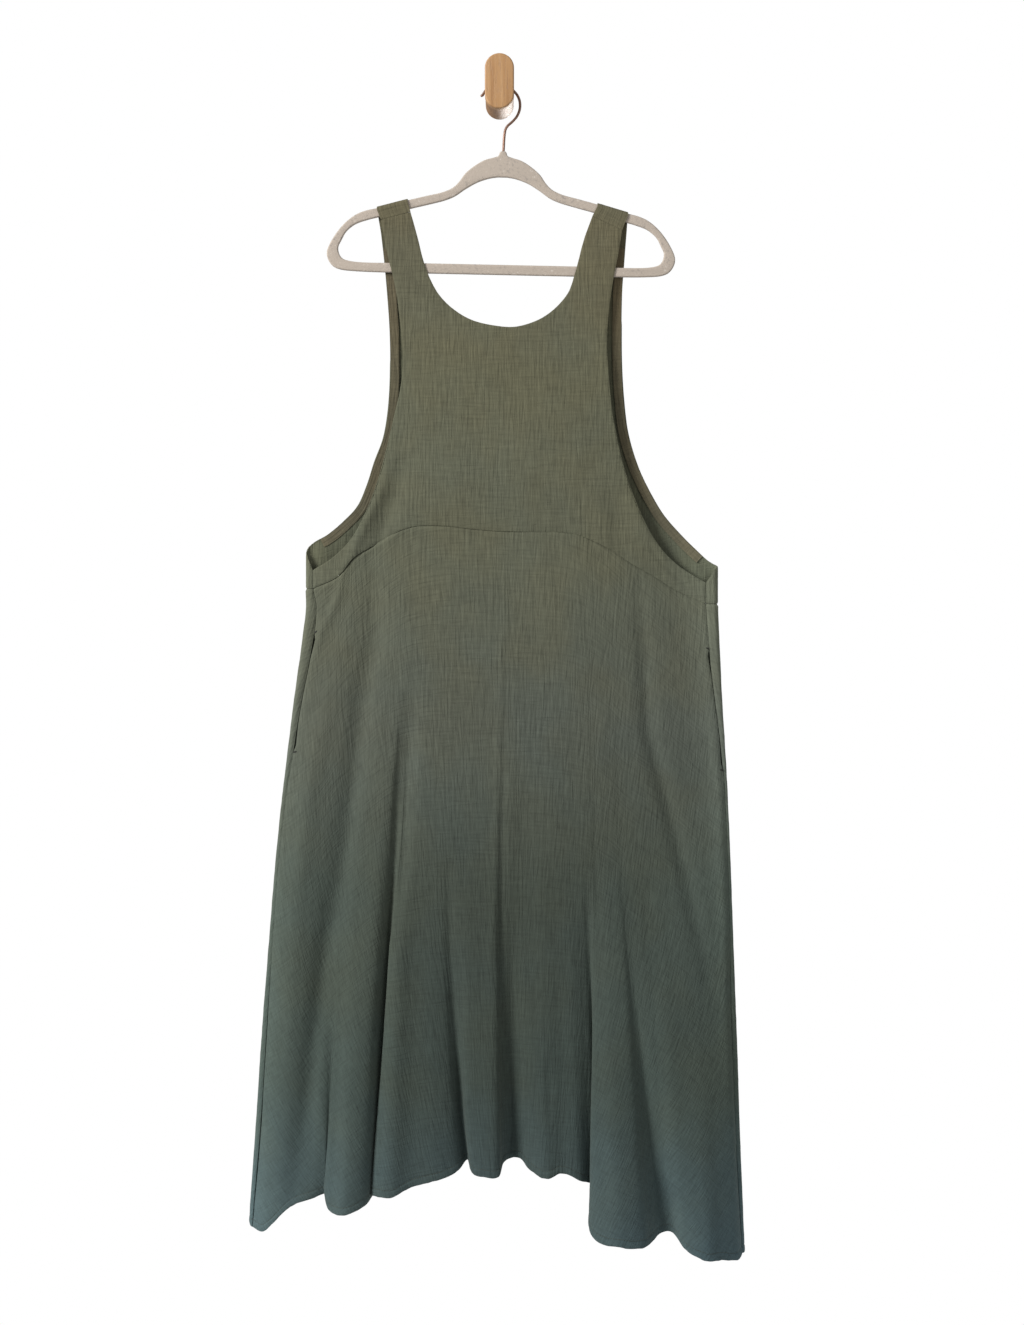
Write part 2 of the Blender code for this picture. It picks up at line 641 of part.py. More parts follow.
def back_armholes():
    """Both armholes of the back, from the strap down and round to the side seam on the front."""
    whole = SECTION.reach[-1]
    left = [(SECTION.length_at(x), z) for x, z in BACK_ARMHOLE_LEFT]
    left += WRAP_ARMHOLE_LEFT
    right = [(SECTION.length_at(x), z) for x, z in BACK_ARMHOLE_RIGHT]
    right += [(whole - reach, z) for reach, z in WRAP_ARMHOLE_RIGHT]
    return left, right


def back_plan():
    """Flat plan of the back bodice, whose x is the distance along its cross-section."""
    whole = SECTION.reach[-1]
    left, right = back_armholes()
    seam = []
    steps = 60
    for i in range(steps + 1):
        reach = whole * i / steps
        seam.append((reach, EMPIRE.at_x(SECTION.at_length(reach).x) + SEAM_GAP / 2.0))
    uppers, lowers = armholes(left, right, NARROWEST - 1)
    neck = Line([(SECTION.length_at(x), z) for x, z in BACK_NECK])
    stops = [SECTION.length_at(x) for x in BACK_STOPS]
    return Bodice(neck, uppers, lowers, Line(seam, 2), BACK_NECK_SHARES, SIDE_WRAP, stops)


def over_arm(side, across, row):
    """Point of a back strap from the shoulder seam in front, over the arm, to the back."""
    (outer_x, outer_z, inner_x, inner_z), (arm_outer, arm_inner) = SHOULDERS[side]
    top_x = arm_outer + (arm_inner - arm_outer) * across
    bend_z = arm_top(top_x) - HANGER_THICKNESS / 2.0
    if row < ARM_FRONT_ROWS:
        seam = Vector((outer_x, STRAP_FRONT_Y, outer_z + SEAM_GAP / 2.0))
        seam = seam.lerp(Vector((inner_x, STRAP_FRONT_Y, inner_z + SEAM_GAP / 2.0)), across)
        return seam.lerp(Vector((top_x, STRAP_FRONT_Y, bend_z)), row / ARM_FRONT_ROWS)
    turn = math.pi * (1.0 - (row - ARM_FRONT_ROWS) / ARM_BEND_ROWS)
    height = bend_z + STRAP_BEND * math.sin(turn)
    return Vector((top_x, HANGER_Y + STRAP_BEND * math.cos(turn), height))


def make_back_bodice():
    """Back whose straps end in front of the arms and whose sides wrap round to the front."""
    plan = back_plan()

    def place(column, row):
        if row >= ARM_ROWS:
            spot = plan.point(column, row - ARM_ROWS)
            return back_place(spot.x, spot.y)
        if column <= plan.stops[3]:
            return over_arm("left", (column - plan.stops[2]) / STRAP_COLUMNS, row)
        return over_arm("right", (plan.stops[5] - column) / STRAP_COLUMNS, row)

    def open_cell(column, row):
        return plan.open_cell(column, row - ARM_ROWS)

    rows = plan.rows + ARM_ROWS
    return sheet("back_bodice", plan.columns, rows, place, gauze, open_cell=open_cell)


def make_facing(side):
    """Band inside the back's armhole, made from the armhole's points and moved to the inside."""
    edge = Line(back_armholes()[0 if side == "left" else 1])
    turn = 1.0 if side == "left" else -1.0
    start, last = 0.0, 1.0
    while edge.at(start).y > FACING_TOP_Z:
        start += 0.002
    while edge.at(last).y < FACING_END_Z[side]:
        last -= 0.002
    lift = CLOTH / 2.0 + LAYER_GAP + FACING_CLOTH / 2.0

    def place(column, row):
        share = start + (last - start) * row / FACING_ROWS
        here = edge.at(share)
        along = (edge.at(share + 0.004) - edge.at(share - 0.004)).normalized()
        inward = Vector((-along.y, along.x)) * turn
        spot = here + inward * (FACING_INSET + FACING_WIDTH * column)
        middle = back_place(spot.x, spot.y)
        step = back_place(spot.x + 0.5, spot.y) - back_place(spot.x - 0.5, spot.y)
        normal = Vector((step.y, -step.x, 0.0)).normalized()
        return middle + normal * lift

    return sheet("armhole_facing_" + side, 1, FACING_ROWS, place, gauze, FACING_CLOTH)


def seam_edge(plan, place, keys, samples):
    """Upper edge of a skirt: it follows the bodice's lower edge facet by facet.

    `keys` says where each fold starts along that edge, in the plan's own x.
    """
    corners = [plan.bottom(i) for i in range(plan.columns + 1)]
    columns = []
    for a, b in zip(keys, keys[1:]):
        columns += [a + (b - a) * i / samples for i in range(samples)]
    columns.append(keys[-1])
    for corner in corners[1:-1]:
        nearest = min(range(1, len(columns) - 1), key=lambda i: abs(columns[i] - corner.x))
        columns[nearest] = corner.x
    edge = []
    for key in columns:
        k = 0
        while k < len(corners) - 2 and corners[k + 1].x < key:
            k += 1
        a, b = corners[k], corners[k + 1]
        share = clamp((key - a.x) / (b.x - a.x))
        edge.append(place(a.x, a.y).lerp(place(b.x, b.y), share) - Vector((0.0, 0.0, SEAM_GAP)))
    return edge


def make_skirt(name, row_points, edge, samples, rows):
    """Flared cloth whose cross-section at each height runs smoothly through its folds."""
    cross_sections = [row_points(row / rows) for row in range(rows + 1)]
    columns = (len(cross_sections[0]) - 1) * samples

    def place(column, row):
        fix = edge[column] - spline(cross_sections[0], column / samples)
        rest = (1.0 - row / rows) ** 2
        return spline(cross_sections[row], column / samples) + fix * rest

    return sheet(name, columns, rows, place, gauze)


def make_front_skirt():
    keys = [fold[0] for fold in FRONT_FOLDS]
    edge = seam_edge(front_plan(), front_place, keys, SKIRT_SAMPLES)
    return make_skirt("front_skirt", front_skirt_row, edge, SKIRT_SAMPLES, SKIRT_ROWS)


def make_back_skirt():
    keys = []
    for top_x, top_y, *_ in BACK_FOLDS:
        reach = 0.0
        while (SECTION.at_length(reach) - Vector((top_x, top_y))).length > 0.6:
            reach += 0.25
        keys.append(reach)
    keys[0], keys[-1] = 0.0, SECTION.reach[-1]
    edge = seam_edge(back_plan(), back_place, keys, SKIRT_SAMPLES)
    return make_skirt("back_skirt", back_skirt_row, edge, SKIRT_SAMPLES, SKIRT_ROWS)


# Section of a pocket bag along the front skirt's fold points: how far in from the side seam, and
# the distance behind the front skirt, where 1 is the back layer
# place, layer
POCKET_SECTION = [
    (0.35, 0.0), (1.0, 0.0), (3.0, 0.0), (6.0, 0.0), (8.7, 0.0), (9.0, 0.5), (8.7, 1.0),
    (6.0, 1.0), (3.0, 1.0), (1.0, 1.0), (0.3, 0.9), (0.0, 0.2),
]
BAG_ROWS = 8
BAG_BEHIND = 1.9
BAG_DEPTH = 3.0
BAG_END_DEPTH = POCKET_CLOTH + LAYER_GAP


def make_pocket(side):
    """Bag behind a side seam's mouth: one cloth folded round, its edges meeting at the ends."""
    last = len(FRONT_FOLDS) - 1

    def surface(place, share):
        at = place if side == "left" else last - place
        return spline(front_skirt_row(share, open_mouths=False), at)

    def place(column, row):
        fold, layer = POCKET_SECTION[column]
        t = row / BAG_ROWS
        share = BAG_TOP + (BAG_END - BAG_TOP) * t
        here = surface(fold, share)
        across = surface(fold + 0.1, share) - here
        down = surface(fold, share + 0.01) - here
        normal = across.cross(down).normalized()
        if normal.y < 0.0:
            normal = -normal
        depth = BAG_END_DEPTH + (BAG_DEPTH - BAG_END_DEPTH) * math.sqrt(math.sin(math.pi * t))
        return here + normal * (BAG_BEHIND + depth * layer)

    columns = len(POCKET_SECTION) - 1
    return sheet("pocket_" + side, columns, BAG_ROWS, place, gauze, POCKET_CLOTH)


def closed_outline(curve, points):
    """Closed flat outline added to a 2D curve."""
    line = curve.splines.new("POLY")
    line.points.add(len(points) - 1)
    for spot, (x, y) in zip(line.points, points):
        spot.co = (x * MM, y * MM, 0.0, 1.0)
    line.use_cyclic_u = True


def flat_curve(name, thickness, rounding):
    """Empty 2D curve for a plate with rounded edges, whose outline is the plate's own."""
    curve = bpy.data.curves.new(name, "CURVE")
    curve.dimensions = "2D"
    curve.fill_mode = "BOTH"
    curve.extrude = (thickness / 2.0 - rounding) * MM
    curve.bevel_depth = rounding * MM
    curve.bevel_resolution = 1
    curve.offset = -rounding * MM
    return curve


def both_halves(points):
    """Outline from its right half, listed from top to bottom."""
    return points + [(-x, z) for x, z in reversed(points)]


def make_hanger():
    """Flat hanger with sloping arms, round ends and a trouser bar."""
    curve = flat_curve("hanger", HANGER_THICKNESS, HANGER_ROUND)
    nub = [(NUB_HALF_WIDTH, NUB_HEIGHT), (NUB_HALF_WIDTH + 1.2, 0.0)]
    outer = Line(HANGER_OUTER)
    inner = Line(HANGER_INNER)
    count = HANGER_OUTER_FACETS
    outer_points = [tuple(outer.at(i / count)) for i in range(count + 1)]
    count = HANGER_INNER_FACETS
    inner_points = [tuple(inner.at(i / count)) for i in range(count + 1)]
    closed_outline(curve, both_halves(nub + outer_points))
    closed_outline(curve, both_halves(inner_points))
    made = finish("hanger", curve, flocking)
    made.location = Vector((HANGER_TOP[0], HANGER_Y, HANGER_TOP[1])) * MM
    made.rotation_euler = (math.radians(90.0), math.radians(HANGER_TILT), 0.0)
    return made


def make_hanger_hook():
    """Bent wire that hangs over the stem and ends on the hanger's nub."""
    route = Line(WIRE_ROUTE)
    curve = bpy.data.curves.new("hanger_hook", "CURVE")
    curve.dimensions = "3D"
    curve.bevel_depth = WIRE_DIAMETER / 2.0 * MM
    curve.bevel_resolution = 2
    curve.use_fill_caps = True
    line = curve.splines.new("POLY")
    line.points.add(WIRE_FACETS)
    for i, spot in enumerate(line.points):
        x, z = route.at(i / WIRE_FACETS)
        spot.co = (x * MM, HANGER_Y * MM, z * MM, 1.0)
    return finish("hanger_hook", curve, copper)


def make_wall_hook():
    """Round stem on the wall with an upright oval plate in front, one turned and milled piece."""
    curve = flat_curve("wall_hook_plate", PLATE_THICKNESS, PLATE_ROUND)
    rise = PLATE_HEIGHT - 2.0 * PLATE_RADIUS
    outline = []
    for start, height in ((0.0, rise), (math.pi, 0.0)):
        for i in range(PLATE_END_FACETS + 1):
            angle = start + math.pi * i / PLATE_END_FACETS
            across, up = PLATE_RADIUS * math.cos(angle), PLATE_RADIUS * math.sin(angle)
            outline.append((across, height + up))
    closed_outline(curve, outline)
    plate = finish("wall_hook_plate", curve, oak)
    plate.location.y = (PLATE_BACK_Y - PLATE_THICKNESS / 2.0) * MM
    plate.rotation_euler.x = math.radians(90.0)
    bpy.context.view_layer.update()
    shape = plate.evaluated_get(bpy.context.evaluated_depsgraph_get())
    data = bpy.data.meshes.new_from_object(shape)
    data.transform(plate.matrix_world)
    bpy.data.objects.remove(plate)
    welded = bmesh.new()
    welded.from_mesh(data)
    bmesh.ops.remove_doubles(welded, verts=welded.verts, dist=0.01 * MM)
    welded.to_mesh(data)
    welded.free()
    data.name = "wall_hook"
    made = bpy.data.objects.new("wall_hook", data)
    parts.objects.link(made)

    bpy.ops.mesh.primitive_cylinder_add(
        vertices=STEM_FACETS,
        radius=STEM_RADIUS * MM,
        depth=STEM_LENGTH * MM,
        location=(0.0, -STEM_LENGTH / 2.0 * MM, 0.0),
        rotation=(math.radians(90.0), 0.0, 0.0),
    )
    stem = bpy.context.object
    stem.name = "wall_hook_stem"
    stem.hide_render = True
    stem.display_type = "WIRE"
    for holder in list(stem.users_collection):
        holder.objects.unlink(stem)
    cutters.objects.link(stem)
    union = made.modifiers.new("stem", "BOOLEAN")
    union.operation = "UNION"
    union.object = stem
    return made


for old in list(bpy.data.objects):
    bpy.data.objects.remove(old)

parts = bpy.data.collections.new("tent_dress")
cutters = bpy.data.collections.new("cutters")
bpy.context.scene.collection.children.link(parts)
bpy.context.scene.collection.children.link(cutters)

gauze = material("green double gauze", (0.098, 0.112, 0.08), 0.92)
flocking = material("greige flocking", (0.53, 0.46, 0.4), 0.95)
copper = material("rose gold wire", (0.6, 0.36, 0.27), 0.25, 1.0)
oak = material("oiled oak", (0.5, 0.29, 0.14), 0.5)

make_front_bodice()
make_back_bodice()
make_facing("left")
make_facing("right")
make_front_skirt()
make_back_skirt()
make_pocket("left")
make_pocket("right")
make_hanger()
make_hanger_hook()
make_wall_hook()
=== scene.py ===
"""Tent dress of crinkled double gauze on a flocked hanger, which hangs on a round oak wall hook.

Lengths are in millimetres until an object is made. +X is right as seen from the front, +Y runs into
the wall and +Z is up. Left and right are those of the front view. The cloth follows the same lines
and tables as the solids, on a finer grid, with its crinkle, creases, seams and turned hems.
"""

import math

import bmesh
import bpy
import numpy as np
from mathutils import Euler, Matrix, Vector
from mathutils.kdtree import KDTree


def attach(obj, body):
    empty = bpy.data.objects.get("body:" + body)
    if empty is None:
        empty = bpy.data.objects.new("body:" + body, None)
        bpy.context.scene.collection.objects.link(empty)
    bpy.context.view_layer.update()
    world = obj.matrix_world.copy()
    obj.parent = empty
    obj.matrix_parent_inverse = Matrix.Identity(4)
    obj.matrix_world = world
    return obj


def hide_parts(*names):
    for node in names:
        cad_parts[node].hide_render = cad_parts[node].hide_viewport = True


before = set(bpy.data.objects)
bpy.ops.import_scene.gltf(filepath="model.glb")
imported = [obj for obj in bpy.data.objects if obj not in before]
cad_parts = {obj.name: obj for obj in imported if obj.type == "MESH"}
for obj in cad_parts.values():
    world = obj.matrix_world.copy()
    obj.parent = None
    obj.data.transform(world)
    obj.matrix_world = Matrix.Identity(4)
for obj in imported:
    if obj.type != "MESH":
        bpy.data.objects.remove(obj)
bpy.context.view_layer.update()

MM = 0.001

# Cloth
CLOTH = 1.4
POCKET_CLOTH = 1.2
FACING_CLOTH = 1
SEAM_GAP = 0.4
SIDE_GAP = 0.5
LAYER_GAP = 0.3

# Hanger: a flat plate with rounded edges in the plane y = HANGER_Y, its crown at HANGER_TOP
HANGER_Y = -28
HANGER_TOP = (4.5, -73.7)
HANGER_TILT = 1.2
ARM_DROP = 65
HANGER_THICKNESS = 5
HANGER_ROUND = 2

# Nub on the crown that holds the wire: right half of its outline, x and z
NUB = [(1.4, 6.8), (3, 6.2), (4.2, 4.9), (4.8, 3.4), (5.3, 1.6), (6.6, 0)]

# Straps: they run over the arms on a curve round the plate's edge
STRAP_BEND = 3.7
STRAP_FRONT_Y = HANGER_Y - STRAP_BEND
STRAP_BACK_Y = HANGER_Y + STRAP_BEND
STRAP_LOW_Y = -22.9
STRAP_BACK_TOP = -172
STRAP_SETTLE_TOP = -155
STRAP_SETTLE_LENGTH = 35

# Depth of the dress at the empire seam: middle of the front and its sides
FRONT_MIDDLE_Y = -38
FRONT_SIDE_Y = -30.5
FRONT_CENTRE_X = 12.5
FRONT_HALF_WIDTH = 250.5
FRONT_BOW_TOP = -235
FRONT_BOW_LENGTH = 300
BACK_BOW_TOP = -240
BACK_BOW_LENGTH = 190

# Side seams of the bodice, which lie just inside the outline on the front
SEAM_LEFT_X = -238
SEAM_RIGHT_X = 263
UNDERARM_LEFT_Z = -602
UNDERARM_RIGHT_Z = -618

# Depth of the skirts at the hem, before their folds: middle and sides of the front, and the back
HEM_MIDDLE_Y = -62
HEM_SIDE_Y = -35
HEM_HALF_WIDTH = 314
HEM_SIDE_FALL = 3
BACK_HEM_Y = -12

# How fast folds deepen on their way to the hem, and how fast a fold laps over its neighbour
FOLD_GROWTH = 1.3
LAP_GROWTH = 1.5
BACK_FOLD_START = 0.1

# Pockets: the part of the side seam that stays open, as shares of the skirt's length
MOUTH_TOP = 0.075
MOUTH_END = 0.255

# share of the skirt's length, width
MOUTH = [
    (0.0735, 0), (0.076, 2.6), (0.086, 2.3), (0.098, 1.3), (0.113, 0.5), (0.19, 0.5), (0.215, 0.8),
    (0.236, 1.7), (0.25, 2), (0.257, 0),
]
BAG_TOP = 0.065
BAG_END = 0.37

# Point of each armhole table where the bodice is narrowest
NARROWEST = 4

# Reach of the back's cross-section that lies round each side, and how many of the back skirt's
# rows at each end go round it
SIDE_WRAP = 23
SIDE_FOLDS = 4

# Columns and rows of the bodices: over each stretch of their width, down the straps and the chest,
# and on a back strap up in front of the arm, over it and on behind it
WRAP_COLUMNS = 7
ARMHOLE_COLUMNS = 8
STRAP_COLUMNS = 4
NECK_COLUMNS = 11
STRAP_ROWS = 8
CHEST_ROWS = 7
ARM_FRONT_ROWS = 2
ARM_BEND_ROWS = 5
ARM_ROWS = ARM_FRONT_ROWS + ARM_BEND_ROWS + 1

# Facings inside the back's armholes
FACING_WIDTH = 11
FACING_INSET = 0.6
FACING_ROWS = 180
FACING_COLUMNS = 10
FACING_LINE_STEPS = 24

# Where across a facing its stitches lie
FACING_STITCH = 0.86

# Heights between which the facings lie
FACING_TOP_Z = -190
FACING_END_Z = {"left": -562, "right": -584}

# Where the bodices' straps meet the neckline, as shares of it, and where the columns beside the
# straps end on the empire seam
FRONT_NECK_SHARES = (0.3, 0.7)
FRONT_STOPS = (-118, -88, 100, 132)
BACK_NECK_SHARES = (0.26, 0.74)
BACK_STOPS = (-128, -95, 105, 142)

# Wire hook and wall hook
WIRE_DIAMETER = 3.4
STEM_RADIUS = 18
STEM_LENGTH = 42
PLATE_RADIUS = 18.5
PLATE_HEIGHT = 70
PLATE_BACK_Y = -38
PLATE_THICKNESS = 12
PLATE_ROUND = 2

# x, z
EMPIRE_SEAM = [
    (-238, -625), (-205.4, -609.5), (-185.5, -586), (-158.7, -569.5), (-130.4, -553.4),
    (-107.5, -546.3), (-73.1, -545.7), (-37.5, -549.5), (0.6, -552.7), (77, -554.2),
    (97.3, -556.5), (118.9, -564.9), (146.9, -579.2), (168.5, -594.1), (197.7, -610.5),
    (225.7, -628), (263, -644.5),
]

# x, z
FRONT_NECK = [
    (-113.5, -145.4), (-105.6, -174), (-92.8, -220.6), (-74.2, -254.6), (-40.4, -280.8),
    (-0.1, -291), (24.4, -291), (58.4, -277.8), (86.2, -250.5), (95.4, -226.8),
    (107.8, -180.5), (118.4, -151),
]

# x, z
FRONT_ARMHOLE_LEFT = [
    (-151.4, -155.1), (-143.3, -197.2), (-132.4, -243.4), (-125.8, -293.3), (-123.1, -334.4),
    (-126, -370.2), (-133.9, -405.8), (-142.8, -445.1), (-153.5, -484.4), (-166, -520.1),
    (-187.5, -561.2), (-212.4, -586.1), (SEAM_LEFT_X, UNDERARM_LEFT_Z),
]

# x, z
FRONT_ARMHOLE_RIGHT = [
    (156.4, -168.5), (151.2, -199.5), (145.2, -229.9), (140.2, -264), (136.8, -305.8),
    (138.6, -348.6), (142.2, -391.5), (149.3, -434.4), (160, -477.2), (172.6, -513),
    (186.8, -545.2), (204.6, -573.7), (226, -595), (247.5, -609.4),
    (SEAM_RIGHT_X, UNDERARM_RIGHT_Z),
]

# x, y of the back's cross-section under the arms, from the left side seam on the front, round the
# side, across the back and round the other side
BACK_SECTION = [
    (SEAM_LEFT_X - SIDE_GAP, -30.5), (-243.4, -30.5), (-246.9, -27), (-243.4, -23.4),
    (-225, -23), (-150, -21.5), (-60, -19.5), (12, -19), (80, -19.5), (170, -21.5),
    (250, -23), (274.6, -23.4), (278.1, -27), (274.6, -30.5), (SEAM_RIGHT_X + SIDE_GAP, -30.5),
]

# x, z
BACK_NECK = [
    (-116, STRAP_BACK_TOP), (-98, -226), (-78, -262), (-42, -290), (0, -300),
    (24.4, -300), (62, -287), (90, -257), (100.5, -226), (114, STRAP_BACK_TOP),
]

# x, z
BACK_ARMHOLE_LEFT = [
    (-151.5, STRAP_BACK_TOP), (-146, -223), (-141, -289.4), (-140, -332.5),
    (-140.6, -368.4), (-143.6, -404.3), (-149, -433), (-159.7, -461.7), (-168.7, -490.5),
    (-181.2, -519.1), (-199.2, -538.8), (-220.7, -556.8), (-236.8, -565.8),
]

# x, z
BACK_ARMHOLE_RIGHT = [
    (162.4, STRAP_BACK_TOP), (159.7, -206.9), (157.1, -240), (156.1, -282.2), (156.1, -332.5),
    (158.9, -382.8), (164.3, -425.9), (176.9, -468.4), (191.2, -499.2), (209.1, -529.8),
    (230.6, -555), (252.2, -576.5), (268.4, -590.9),
]

# Last stretch of each of the back's armholes, round the side
# distance from the side seam, z
WRAP_ARMHOLE_LEFT = [(12, -575), (6.5, -587), (0, UNDERARM_LEFT_Z)]
WRAP_ARMHOLE_RIGHT = [(12, -600), (6.5, -609), (0, UNDERARM_RIGHT_Z)]

# side, shoulder seam (outer x, outer z, inner x, inner z), strap over the arm (outer x, inner x)
SHOULDERS = {
    "left": ((-151.4, -155.1, -113.5, -145.4), (-156.4, -117.2)),
    "right": ((156.4, -168.5, 118.4, -151), (163.9, 125)),
}

# Front skirt, a row for each ridge and valley of its hem from left to right. Its line runs from
# `top` on the empire seam to `foot` on the hem and leans by `lean` half way down. `back` moves the
# foot sideways where a fold laps over its neighbour. The fold starts at the share `start` of the
# length and reaches the depth y at the hem, whose height is z.
# top, foot, lean, back, y, z, start
FRONT_FOLDS = [
    (-238, -314.4, -8, 0, -36, -1438.4, 0),
    (-229, -299, -8, 0, -50, -1439, 0.2),
    (-206, -263.6, -5, 0, -60, -1405.5, 0.3),
    (-188, -236.3, -4, 0, -57, -1395.1, 0.5),
    (-175.5, -220.6, -4, 0, -50, -1391.1, 0.6),
    (-165, -212.9, -4, 0, -61, -1408.7, 0.6),
    (-150, -195.4, -3, 0, -76, -1411.2, 0.5),
    (-127, -169.8, -4, 0, -68, -1401.8, 0.4),
    (-112, -158.5, -5, 0, -46, -1392.1, 0.28),
    (-104, -154, -6, 5.5, -33, -1387.1, 0.25),
    (-96, -150, -5, -11.3, -56, -1390.4, 0.25),
    (-88.5, -144.5, -6, -3.9, -69, -1390.8, 0.3),
    (-81, -135.6, -9, 0, -72, -1390.6, 0.35),
    (-69.5, -109.8, -14, 0, -64, -1379.2, 0.4),
    (-56.5, -72.2, -19, 0, -60, -1370, 0.45),
    (-48, -53.5, -22, 0, -54, -1361.9, 0.5),
    (-42.5, -40.6, -23, 0, -42, -1351.1, 0.5),
    (-35, -33.7, -18, 0, -60, -1362.5, 0.5),
    (-17, -18, -10, 0, -66, -1366, 0.45),
    (4.5, -1.9, -6, 0, -65, -1366.3, 0.2),
    (12, 4.8, -5, 0, -50, -1352.9, 0.35),
    (21, 13.4, -4, 0, -40, -1349.7, 0.4),
    (25.5, 26, -4, 0, -46, -1347.6, 0.45),
    (31, 38, -4, 0, -54, -1359.4, 0.5),
    (42.5, 59.3, -3, 0, -64, -1368.8, 0.5),
    (56.5, 78.9, -1, 0, -60, -1363.2, 0.55),
    (73, 100.3, 0, 0, -58, -1372.1, 0.55),
    (86, 114.5, 1, 4.1, -44, -1381.3, 0.52),
    (95, 119, 3, 14.3, -31, -1392.8, 0.5),
    (104, 121.1, 6, -8.2, -58, -1423.8, 0.5),
    (111.5, 126.3, 4, -6.6, -76, -1441.5, 0.5),
    (125.5, 147.7, 0, 0, -88, -1447.3, 0.45),
    (139.5, 180.1, -9, 0, -79, -1450.6, 0.45),
    (149.5, 193.2, -15, 0, -60, -1447.7, 0.45),
    (158.5, 203.9, -17, 0, -48, -1441.9, 0.45),
    (169, 218.5, -11, 0, -52, -1439.1, 0.45),
    (184, 234.6, -4, 0, -70, -1456.7, 0.4),
    (206, 261, 1, 0, -75, -1469.1, 0.4),
    (226, 279.6, 4, 0, -66, -1470.2, 0.35),
    (248, 300.9, 2.5, 0, -52, -1475, 0.3),
    (263, 308.8, 3.5, 0, -38, -1470.8, 0),
]

# Back skirt, from the left side seam on the front, round the side, across and round again. Its
# upper ends lie on the back's cross-section under the arms.
# top x, top y, foot, lean, y, z
BACK_FOLDS = [
    (SEAM_LEFT_X - SIDE_GAP, -30.5, -314.9, -8, -35.7, -1438.4),
    (-243.4, -30.5, -317.2, -7.5, -32.5, -1437),
    (-246.9, -27, -318.5, -7, -26, -1433),
    (-243.4, -23.4, -315, -7, -18.5, -1430),
    (-225, -23, -292, -6, -11, -1421),
    (-186, -22.3, -243, -5, -16.5, -1400),
    (-145, -21.4, -189, -4, -8.5, -1388),
    (-104, -20.5, -136, -3, -16, -1377),
    (-64, -19.6, -84, -2, -8.5, -1362),
    (-25, -19.2, -32, -1, -15.5, -1342),
    (14, -19, 19, 0, -8, -1338),
    (54, -19.3, 70, 1, -16, -1350),
    (95, -19.8, 122, 1, -8.5, -1378),
    (137, -20.7, 174, 2, -17, -1418),
    (180, -21.7, 224, 2, -9.5, -1430),
    (218, -22.4, 266, 2, -15.5, -1448),
    (250, -23, 294, 2, -11.5, -1460),
    (274.6, -23.4, 309, 1, -19, -1468),
    (278.1, -27, 312, 1, -27, -1470),
    (274.6, -30.5, 311.4, 2.5, -33.5, -1471),
    (SEAM_RIGHT_X + SIDE_GAP, -30.5, 309.3, 3.5, -37.7, -1470.8),
]

# How far the skirt's side seams lie off the even line from the underarm to the hem's corner: they
# run upright to the pocket's mouth, then out to the outline and down along it
# distance below the empire seam, x
SIDE_BEND_LEFT = [
    (0, 0.4), (10, 3.6), (22, 7.6), (41, 9.2), (60, 9.2), (98, 7.4), (137, 4.4), (175, 2.2),
    (213, 0.9), (272, -2), (336, -2.6), (389, -2.2), (480, 0), (632, 2.6),
    (709, 2.6), (820, 0),
]
SIDE_BEND_RIGHT = [
    (0, 0), (50, 0), (87, 0.6), (125, 2.8), (165, 5.2), (208, 7), (260, 6.8),
    (308, 6), (410, 3.4), (520, -0.4), (700, -1.8), (820, 0),
]
SIDE_LENGTH = 820

# How much of that bend the folds beside the left and right seam take, from the seam inwards
FRONT_BEND_SHARES = ((1, 0.5, 0.2), (1, 0.5, 0.2))
BACK_BEND_SHARES = ((1, 0.4, 0.4, 0.3), (1, 0.4))

# Right half of the hanger, x and z from the crown's top: its outer edge and its window
HANGER_OUTER = [
    (12.8, -2), (23, -5), (35, -12), (48, -23), (55, -33), (63, -41),
    (75.5, -47), (97, -52.5), (121, -58.6), (160, -69.4), (174.6, -73), (186.7, -78.3),
    (199, -88), (210, -101), (219.6, -117.5), (222.5, -126.6), (221, -135.4),
    (214.5, -144.4), (205.6, -148.3), (186, -150.3), (100, -151.4),
]
HANGER_INNER = [
    (6, -26.8), (16.6, -28.6), (32, -34), (48, -43.5), (60, -52), (72.5, -57.5), (94, -63.5),
    (117.5, -69.5), (158, -81), (171, -84.5), (186.7, -90.5), (198, -100),
    (204, -111), (208, -121), (204, -133), (193, -137.5), (100, -138.5),
]

# x, z of the wire's middle, from its flared tip over the stem and down to the hanger's nub
WIRE_ROUTE = [
    (-24.6, 4), (-22.2, 4.2), (-20.2, 7), (-16.6, 12.2), (-10, 17.8), (0, 20.2),
    (10.5, 17.6), (18.3, 9.8), (22.6, 4.6), (25.4, -1.8), (26.2, -8.3), (25.4, -14.9),
    (22.3, -22.3), (16.9, -28.8), (10.7, -34.3), (7.7, -39), (6.2, -47), (5, -66.8),
]

# Section of a pocket bag along the front skirt's fold points: how far in from the side seam, and
# the distance behind the front skirt, where 1 is the back layer
# place, layer
POCKET_SECTION = [
    (0.35, 0), (1, 0), (3, 0), (6, 0), (8.7, 0), (9, 0.5), (8.7, 1),
    (6, 1), (3, 1), (1, 1), (0.3, 0.9), (0, 0.2),
]
BAG_ROWS = 48
BAG_FINE = 5
BAG_BEHIND = 1.9
BAG_DEPTH = 3
BAG_END_DEPTH = POCKET_CLOTH + LAYER_GAP

# How much further the bags hang behind the front skirt where it is creased
BAG_CLEARANCE = 0.9


# Fine grids: points between two columns and two rows of the plans above
FRONT_BODICE_FINE = 9
BACK_BODICE_FINE = 7
FRONT_SKIRT_FINE = 11
BACK_SKIRT_FINE = 18
BODICE_ROWS_FINE = 8
ARM_ROWS_FINE = 4

